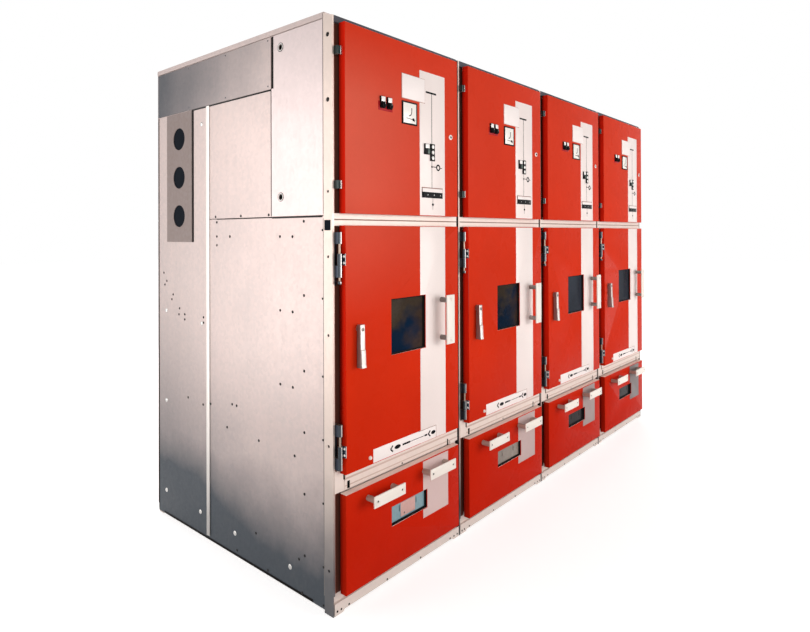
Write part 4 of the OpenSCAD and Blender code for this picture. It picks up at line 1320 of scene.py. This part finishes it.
class SWITCHGEAR_OT_switches(PieceOperator):
    """Builds the selector switches, control switches and position indicators"""

    bl_idname = "switchgear.switches"
    bl_label = "Switches and indicators"

    def cap(self, name, low, high, out, material, radius=0.8):
        """Small moulded cap between two corners of a face, standing out by out mm."""
        front = Vector((high.x, low.y - out * MM, high.z))
        ob = block(name, Vector((low.x, low.y, low.z)), front)
        round_edges(ob, radius * MM, segments=2)
        return paint(ob, finish(material))

    def build(self):
        for node in ("selector_switches", "control_switches", "position_indicators", "annunciators"):
            case = merged_copy(node, node + "_cases")
            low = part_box(node)[0]
            round_edges(case, 0.6 * MM, lambda a, b: max(a.y, b.y) < low.y + 0.1 * MM, 2)
            on_row(paint(case, finish("black_moulding")))

        parts = []
        low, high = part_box("selector_switches")
        plate_y = INSTRUMENT.y - 8 * MM
        base = self.cap("selector_base", Vector((low.x - 9 * MM, INSTRUMENT.y, low.z - 9 * MM)),
                        Vector((low.x + 75 * MM, INSTRUMENT.y, low.z + 27 * MM)), 1.2, "dark_red", 0.5)
        parts.append(base)
        for i in range(2):
            left = low.x + i * 40 * MM
            parts.append(self.cap("selector_label", Vector((left + 1.5 * MM, plate_y, high.z - 21 * MM)),
                                  Vector((left + 25 * MM, plate_y, high.z - 1.5 * MM)), 1.2, "lamp_white"))
            knob = Vector((left + 13 * MM, low.y, low.z + 11.75 * MM))
            grip = block("grip", knob + Vector((-2.6, 0.2, -9.5)) * MM, knob + Vector((2.6, -3, 9.5)) * MM)
            round_edges(grip, 1.2 * MM)
            parts.append(paint(grip, finish("black_moulding")))
            mark = block("mark", knob + Vector((-0.5, -2.9, 2)) * MM, knob + Vector((0.5, -3.3, 8.5)) * MM)
            parts.append(paint(round_edges(mark, 0.15 * MM), finish("lamp_white")))

        low, high = first_box("control_switches")
        face = Vector((low.x + 2 * MM, low.y, high.z - 20 * MM))
        far_corner = Vector((high.x - 3 * MM, low.y, high.z - 1.5 * MM))
        parts.append(self.cap("control_top", face, far_corner, 1.2, "lamp_white"))
        face = Vector((low.x + 16 * MM, low.y, low.z + 3 * MM))
        far_corner = Vector((high.x - 2 * MM, low.y, high.z - 23 * MM))
        parts.append(self.cap("control_key", face, far_corner, 3, "switch_green"))

        low, high = first_box("position_indicators")
        middle = (low.x + high.x) / 2
        third = (high.z - low.z) / 3
        for i in range(3):
            place = Vector((middle, low.y, low.z + (i + 0.5) * third))
            lamp = dome(8.6 * MM, 2.6 * MM, "lamp_white", 20)
            lamp.location = place
            parts.append(settle(lamp))

        low, high = first_box("annunciators")
        plate_y = INSTRUMENT.y - 3 * MM
        edge_low = Vector((low.x, plate_y, low.z + 25.2 * MM))
        far_corner = Vector((high.x, plate_y, high.z))
        parts.append(self.cap("annunciator_edge", edge_low, far_corner, 0.5, "amber_line", 0.2))
        label_low = Vector((low.x + 2 * MM, plate_y, low.z + 25.2 * MM))
        far_corner = Vector((high.x - 2 * MM, plate_y, high.z - 3.5 * MM))
        parts.append(self.cap("annunciator_label", label_low, far_corner, 1.0, "label_white", 0.3))
        for part in (0.24, 0.55, 0.86):
            bead = dome(3.2 * MM, 1.2 * MM, "knuckle_steel", 12)
            bead.location = Vector((low.x + (high.x - low.x) * part, low.y, low.z + 13 * MM))
            parts.append(settle(bead))
        on_row(in_every_cubicle(joined("switch_fittings", parts)))


class SWITCHGEAR_OT_locks(PieceOperator):
    """Builds the door locks with their key slots"""

    bl_idname = "switchgear.locks"
    bl_label = "Door locks"

    def build(self):
        face = merged_copy("door_locks", "lock_faces")
        round_edges(face, 0.8 * MM, lambda a, b: max(a.y, b.y) < INSTRUMENT.y - 3.9 * MM)
        on_row(paint(face, finish("lamp_white")))
        low, high = first_box("door_locks")
        centre = Vector(((low.x + high.x) / 2, low.y, (low.z + high.z) / 2))
        core = rod("lock_core", centre + BACK * 0.2 * MM, centre + FRONT * 0.8 * MM, 5.2 * MM, 24)
        slot = block("slot", centre + Vector((-0.9, 0.1, -3.4)) * MM, centre + Vector((0.9, -2, 3.4)) * MM)
        cut(core, slot)
        paint(core, finish("black_moulding"))
        on_row(in_every_cubicle(core))


def even_row(start, end, count):
    """Places at even distances from start to end, both of them included."""
    shares = [i / (count - 1) for i in range(count)]
    return [tuple(a + (b - a) * share for a, b in zip(start, end)) for share in shares]


class SWITCHGEAR_OT_wall_fixings(PieceOperator):
    """Sets the rivets, bumps and bolts of both end walls, and dark edgings that are partly joints and partly
    painted shadow
    """

    bl_idname = "switchgear.wall_fixings"
    bl_label = "End wall fixings"

    # Fixings on an end wall as (mm behind the frame's face, mm above the floor), measured to 5 mm.
    # They follow no single spacing. Those that stand about evenly are spread between measured
    # ends, and the others are measured one by one.
    SEAM_ROW = even_row((85, 1505), (325, 1505), 3) + even_row((395, 1505), (795, 1505), 3)
    INNER_POST = even_row((170, 170), (170, 890), 4) + [(170, 1185), (170, 1475)]
    INNER_BRACKETS = even_row((240, 815), (240, 1415), 3) + even_row((320, 815), (320, 1415), 3)
    SHELF_ROW = even_row((230, 545), (705, 560), 3)
    SHUTTER_FOOT = [(630, 670), (665, 670), (840, 640)]
    SHUTTER_HEAD = [(680, 1415), (785, 1415), (785, 1375), (785, 1480)]
    DUCT_FOOT = [(1070, 1010), (1070, 1035)]
    FRONT_SLOPE = even_row((1125, 1030), (1265, 1170), 3)
    REAR_SLOPE = even_row((1120, 1060), (1245, 1190), 3) + [(1275, 1230)]
    CABLE_ROOM = [(900, 1010), (900, 1035), (905, 625), (1040, 635)]
    BASE_ROW = even_row((185, 20), (630, 35), 3) + [(205, 145), (490, 155)]
    FOOT_BUMPS = [(260, 95), (645, 105), (930, 115)]
    REAR_BUMPS = even_row((1250, 130), (1250, 1040), 3)
    EYES = [(915, 1005), (915, 1945)]
    EDGE_SCREWS = [(60, 20)] + even_row((60, 165), (60, 885), 4) + [(60, 1180), (60, 1440)]
    COLUMN_BOLTS = [(24, 165), (24, 630), (24, 1045), (24, 1340), (24, 1585)]
    TOP_BOLTS = [(24, 1930), (24, 2175)]

    def places(self, spots, x):
        return [Vector((x, FRAME_Y + y * MM, z * MM)) for y, z in spots]

    def edging(self, x, look, y, z, proud, material="gasket_rubber"):
        """Flat strip on a wall's face at x; y and z are its limits in mm."""
        a = Vector((x, FRAME_Y + y[0] * MM, z[0] * MM))
        b = Vector((x, FRAME_Y + y[1] * MM, z[1] * MM)) + look * proud * MM
        return paint(round_edges(block("edging", a, b), 0.2 * MM), finish(material))

    def wall(self, side, end, look):
        sheet, cover = (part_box(node)[end].x for node in ("end_wall_sheets", "end_duct_covers"))
        radius = fittings().rivet
        rivets = (self.SEAM_ROW + self.INNER_POST + self.INNER_BRACKETS + self.SHELF_ROW
                  + self.SHUTTER_FOOT + self.SHUTTER_HEAD + self.DUCT_FOOT + self.FRONT_SLOPE
                  + self.REAR_SLOPE + self.CABLE_ROOM + self.BASE_ROW)
        model = turned(dome(radius, radius * 0.4, "rivet_steel"), look)
        on_row(scattered(f"wall_rivets_{side}", model, self.places(rivets, sheet)))
        model = turned(dome(11 * MM, 4.2 * MM, "bright_steel", 24), look)
        bumps = self.FOOT_BUMPS + self.REAR_BUMPS + self.EYES
        on_row(scattered(f"wall_bumps_{side}", model, self.places(bumps, sheet)))
        model = turned(pan_head(fittings().screw, 1.9 * MM, material="rivet_steel"), look)
        on_row(scattered(f"wall_screws_{side}", model, self.places(self.EDGE_SCREWS, sheet)))

        low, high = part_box("end_duct_covers")
        spots = [Vector((cover, low.y + (high.y - low.y) * part, z)) for part in (0.02, 0.35, 0.68, 0.98)
                 for z in (low.z + 14 * MM, high.z - 12 * MM)]
        model = turned(pan_head(fittings().screw * 0.8, 1.2 * MM, material="knuckle_steel"), look)
        on_row(scattered(f"duct_screws_{side}", model, spots))

        duct, plate_low = low.z / MM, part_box("end_box_plates")[0].z / MM
        box_rear = (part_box("end_box_plates")[1].y - FRAME_Y) / MM
        bars = (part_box("end_busbar_plates")[0].y - FRAME_Y) / MM
        bars_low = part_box("end_busbar_plates")[0].z / MM
        fold = (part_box("end_fold_strips")[0].y - FRAME_Y) / MM
        rear = (BACK_Y - FRAME_Y) / MM
        # Dark edgings: partly the dark joints between sheets and covers, partly painted shadow, as the strip
        # along the wall's foot and the lines along the post's rear edge and under the box plates.
        edgings = [
            self.edging(cover, look, (box_rear - 13, box_rear - 1), (duct, high.z / MM - 1), 1.2),
            self.edging(sheet, look, (bars - 15, bars - 3), (bars_low, duct - 4), 1.6),
            self.edging(sheet, look, (60, fold - 60), (plate_low - 6.5, plate_low - 4.6), 0.6, "rivet_steel"),
            self.edging(sheet, look, (60, box_rear), (plate_low - 9, plate_low - 4.6), 1.4, "rivet_steel"),
            self.edging(sheet, look, (rear - 9, rear - 3), (20, duct - 4), 0.8),
            self.edging(sheet, look, (box_rear + 0.3, box_rear + 8), (plate_low, duct - 5), 0.8,
                        "rivet_steel"),
            self.edging(sheet, look, (box_rear + 5, bars), (duct - 7, duct - 0.4), 0.8, "rivet_steel"),
            self.edging(cover, look, (52, 54.5), (plate_low + 1, high.z / MM - 1), 0.3, "rivet_steel"),
            self.edging(sheet, look, (49.3, 57), (60, plate_low - 12), 0.6, "post_steel"),
            self.edging(sheet, look, (120, rear - 60), (9, 19), 1.0),
        ]
        on_row(joined(f"wall_edgings_{side}", edgings))

        hole_y = FRAME_Y + (box_rear - 60) * MM
        for level, z in (("low", plate_low * MM + 78 * MM), ("high", ROOF_Z - 80 * MM)):
            inner = flat_ring("lifting_ring", Vector((0, 0, 0)), 16 * MM, 3.5 * MM, 1.2 * MM, "lamp_white")
            outer = flat_ring("lifting_rim", Vector((0, 0, 0)), 18.5 * MM, 2.4 * MM, 0.7 * MM, "rivet_steel")
            ring = turned(joined(f"lifting_ring_{level}_{side}", [inner, outer]), look)
            ring.location = (cover, hole_y, z)
            on_row(settle(ring))

    def build(self):
        ends = (("left", 0, LEFT, ROW_LEFT), ("right", 1, RIGHT, ROW_RIGHT))
        posts = merged_copy("front_posts", "bored_posts")
        sizes = (("small", 5.5 * MM, self.COLUMN_BOLTS), ("large", 9 * MM, self.TOP_BOLTS))
        for side, end, look, post in ends:
            self.wall(side, end, look)
            for size, bore, spots in sizes:
                places = self.places(spots, post)
                posts = bored(posts, bore, [(place, look) for place in places])
                bolt = turned(sunk_bolt(bore), look)
                on_row(scattered(f"{size}_column_bolts_{side}", bolt, places))
        on_row(paint(posts, finish("zinc_post")))


class SWITCHGEAR_OT_frame_fixings(PieceOperator):
    """Sets the screws of the front frame, the base and the rear covers"""

    bl_idname = "switchgear.frame_fixings"
    bl_label = "Frame fixings"

    def build(self):
        def front(x, z):
            return Vector((ROW_LEFT + x * MM, FRAME_Y, z * MM))

        row = [(20, 15), (40, 15)] + even_row((80, 15), (725, 15), 4) + [(755, 15), (780, 15)]
        holes = [front(x, z) for x, z in row]
        on_row(in_every_cubicle(scattered("base_screw_holes", bolt_hole(4.2 * MM), holes)))
        screw = [front(390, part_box("lower_rails")[0].z / MM + 11)]
        head = pan_head(3.6 * MM, 1.6 * MM, material="rivet_steel")
        on_row(in_every_cubicle(scattered("rail_screws", head, screw)))

        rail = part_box("lower_rails")[0].z
        # Dark blocks on the rail's face stand for its slots; their black is painted shade.
        slots = []
        for x, z in (((52, 59), (48, 74)), ((72, 85), (8, 36)), ((704, 712), (2, 30))):
            slot = block("rail_slot", (ROW_LEFT + x[0] * MM, FRAME_Y - 0.5 * MM, rail + z[0] * MM),
                         (ROW_LEFT + x[1] * MM, FRAME_Y + 1 * MM, rail + z[1] * MM))
            slots.append(paint(slot, finish("dark_hole")))
        on_row(in_every_cubicle(joined("rail_slots", slots)))

        low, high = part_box("rear_covers")
        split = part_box("end_box_plates")[0].z - 3 * MM
        edge = 22 * MM
        rows = (low.z + edge, split - edge, split + edge, high.z - edge)
        middles = (low.z + 500 * MM, low.z + 980 * MM, (split + high.z) / 2)
        places = [Vector((ROW_LEFT + x * MM, BACK_Y, z)) for x in (24, 400, 776) for z in rows]
        places += [Vector((ROW_LEFT + x * MM, BACK_Y, z)) for x in (24, 776) for z in middles]
        every = [(place + RIGHT * k * PITCH, BACK) for k in range(CUBICLES) for place in places]
        bore = fittings().bolt
        covers = bored(merged_copy("rear_covers", "bored_rear_covers"), bore, every)
        on_row(paint(covers, finish("zinc_rear")))
        bolts = scattered("rear_cover_bolts", turned(sunk_bolt(bore, "bright_steel"), BACK), places)
        on_row(in_every_cubicle(bolts))


class SWITCHGEAR_OT_stage(PieceOperator):
    """Sets the floor, the studio light and the camera"""

    bl_idname = "switchgear.stage"
    bl_label = "Floor, light and camera"

    def seen_directly(self, tree):
        """1 for rays that come straight from the camera, a reflection or through glass."""
        path = tree.nodes.new("ShaderNodeLightPath").outputs
        seen = maths(tree, "MAXIMUM", path["Is Camera Ray"], path["Is Glossy Ray"])
        return maths(tree, "MAXIMUM", seen, path["Is Transmission Ray"])

    def lay_floor(self):
        deselect()
        bpy.ops.mesh.primitive_plane_add(size=60, location=(0, 0, 0))
        floor = added("floor")
        material, tree, shader = start_material("floor_white", Roughness=0.9, Specular_IOR_Level=0.0)
        shader["Base Color"].default_value = (0.72, 0.72, 0.72, 1)
        shader["Emission Color"].default_value = (1, 1, 1, 1)
        place = tree.nodes.new("ShaderNodeVectorMath")
        place.operation = "LENGTH"
        tree.links.new(object_place(tree), place.inputs[0])
        level = spread(tree, place.outputs["Value"], 2.4, 6.5, 0.64, 1.0)
        glow = maths(tree, "MULTIPLY", self.seen_directly(tree), level)
        tree.links.new(glow, shader["Emission Strength"])
        paint(floor, material)

    def light_room(self, stage):
        world = bpy.data.worlds.new("studio")
        bpy.context.scene.world = world
        world.use_nodes = True
        tree = world.node_tree
        back = tree.nodes["Background"]
        level = maths(tree, "MAXIMUM", self.seen_directly(tree), stage.ambient)
        tree.links.new(level, back.inputs["Strength"])
        back.inputs["Color"].default_value = (1, 1, 1, 1)

    def lamp(self, name, place, target, size, power, colour):
        data = bpy.data.lights.new(name, "AREA")
        data.shape = "RECTANGLE"
        data.size, data.size_y = size
        data.energy = power
        data.color = colour
        lamp = bpy.data.objects.new(name, data)
        bpy.context.scene.collection.objects.link(lamp)
        lamp.visible_camera = False
        lamp.location = place
        lamp.rotation_euler = (Vector(target) - Vector(place)).to_track_quat("-Z", "Y").to_euler()

    def set_camera(self, stage):
        data = bpy.data.cameras.new("camera")
        data.sensor_width = 36
        data.lens = stage.lens
        data.shift_x = -0.0025
        data.shift_y = -0.1056
        data.clip_end = 200
        camera = bpy.data.objects.new("camera", data)
        bpy.context.scene.collection.objects.link(camera)
        turn = Matrix.Rotation(-stage.heading, 4, "Z") @ Matrix.Rotation(math.pi / 2 + stage.tilt, 4, "X")
        turn = turn @ Matrix.Rotation(-stage.roll, 4, "Z")
        corner = Vector((ROW_LEFT, FRAME_Y, 0))
        camera.matrix_world = Matrix.Translation(corner + Vector(stage.eye)) @ turn
        bpy.context.scene.camera = camera

    def build(self):
        stage = bpy.context.scene.switchgear_stage
        self.lay_floor()
        self.light_room(stage)
        rosy = (1.0, 0.94, 0.91)
        warm = (1.0, 0.96, 0.93)
        self.lamp("key", (ROW_LEFT - 1.5, 0.75, 1.42), (ROW_LEFT, -0.5, 1.42), (1.8, 2.2), stage.key, rosy)
        self.lamp("fill", (1.9, FRAME_Y - 5.0, 1.6), (-0.1, FRAME_Y, 1.1), (4.0, 3.0), stage.fill, warm)
        self.lamp("near", (ROW_LEFT - 1.8, FRAME_Y - 2.4, 1.7), (ROW_LEFT + 0.6, FRAME_Y, 1.1), (1.5, 1.5),
                  stage.near, warm)
        self.lamp("far_side", (ROW_RIGHT + 3.0, FRAME_Y + 1.5, 2.6), (ROW_RIGHT, FRAME_Y + 0.6, 1.2),
                  (2.5, 2.5), 90, warm)
        self.lamp("back_side", (0.4, BACK_Y + 3.6, 3.0), (0, BACK_Y, 1.2), (4.0, 2.5), 150, warm)
        self.set_camera(stage)
        bpy.context.scene.view_settings.view_transform = "Standard"


OPERATORS = (
    SWITCHGEAR_OT_steelwork,
    SWITCHGEAR_OT_seals,
    SWITCHGEAR_OT_doors,
    SWITCHGEAR_OT_handles,
    SWITCHGEAR_OT_levers,
    SWITCHGEAR_OT_hinges,
    SWITCHGEAR_OT_windows,
    SWITCHGEAR_OT_strips,
    SWITCHGEAR_OT_mimic,
    SWITCHGEAR_OT_door_labels,
    SWITCHGEAR_OT_meters,
    SWITCHGEAR_OT_switches,
    SWITCHGEAR_OT_locks,
    SWITCHGEAR_OT_wall_fixings,
    SWITCHGEAR_OT_frame_fixings,
    SWITCHGEAR_OT_stage,
)

SETTINGS = {
    "switchgear_steel": SteelSettings,
    "switchgear_enamel": EnamelSettings,
    "switchgear_fittings": FittingSettings,
    "switchgear_stage": StageSettings,
}


class SWITCHGEAR_PT_pieces(bpy.types.Panel):
    """Lists the settings and the pieces of the switchgear row"""

    bl_idname = "SWITCHGEAR_PT_pieces"
    bl_label = "Switchgear"
    bl_space_type = "VIEW_3D"
    bl_region_type = "UI"
    bl_category = "Switchgear"

    def draw(self, context):
        for name, group_type in SETTINGS.items():
            box = self.layout.box()
            for prop in group_type.__annotations__:
                box.prop(getattr(context.scene, name), prop)
        for operator in OPERATORS:
            self.layout.operator(operator.bl_idname)


def register():
    for kind in (*SETTINGS.values(), *OPERATORS, SWITCHGEAR_PT_pieces):
        bpy.utils.register_class(kind)
    for name, kind in SETTINGS.items():
        setattr(bpy.types.Scene, name, bpy.props.PointerProperty(type=kind))


def unregister():
    for name in SETTINGS:
        delattr(bpy.types.Scene, name)
    for kind in (SWITCHGEAR_PT_pieces, *reversed(OPERATORS), *SETTINGS.values()):
        bpy.utils.unregister_class(kind)


def main():
    register()
    for operator in OPERATORS:
        section, name = operator.bl_idname.split(".")
        getattr(getattr(bpy.ops, section), name)()


if __name__ == "__main__":
    main()
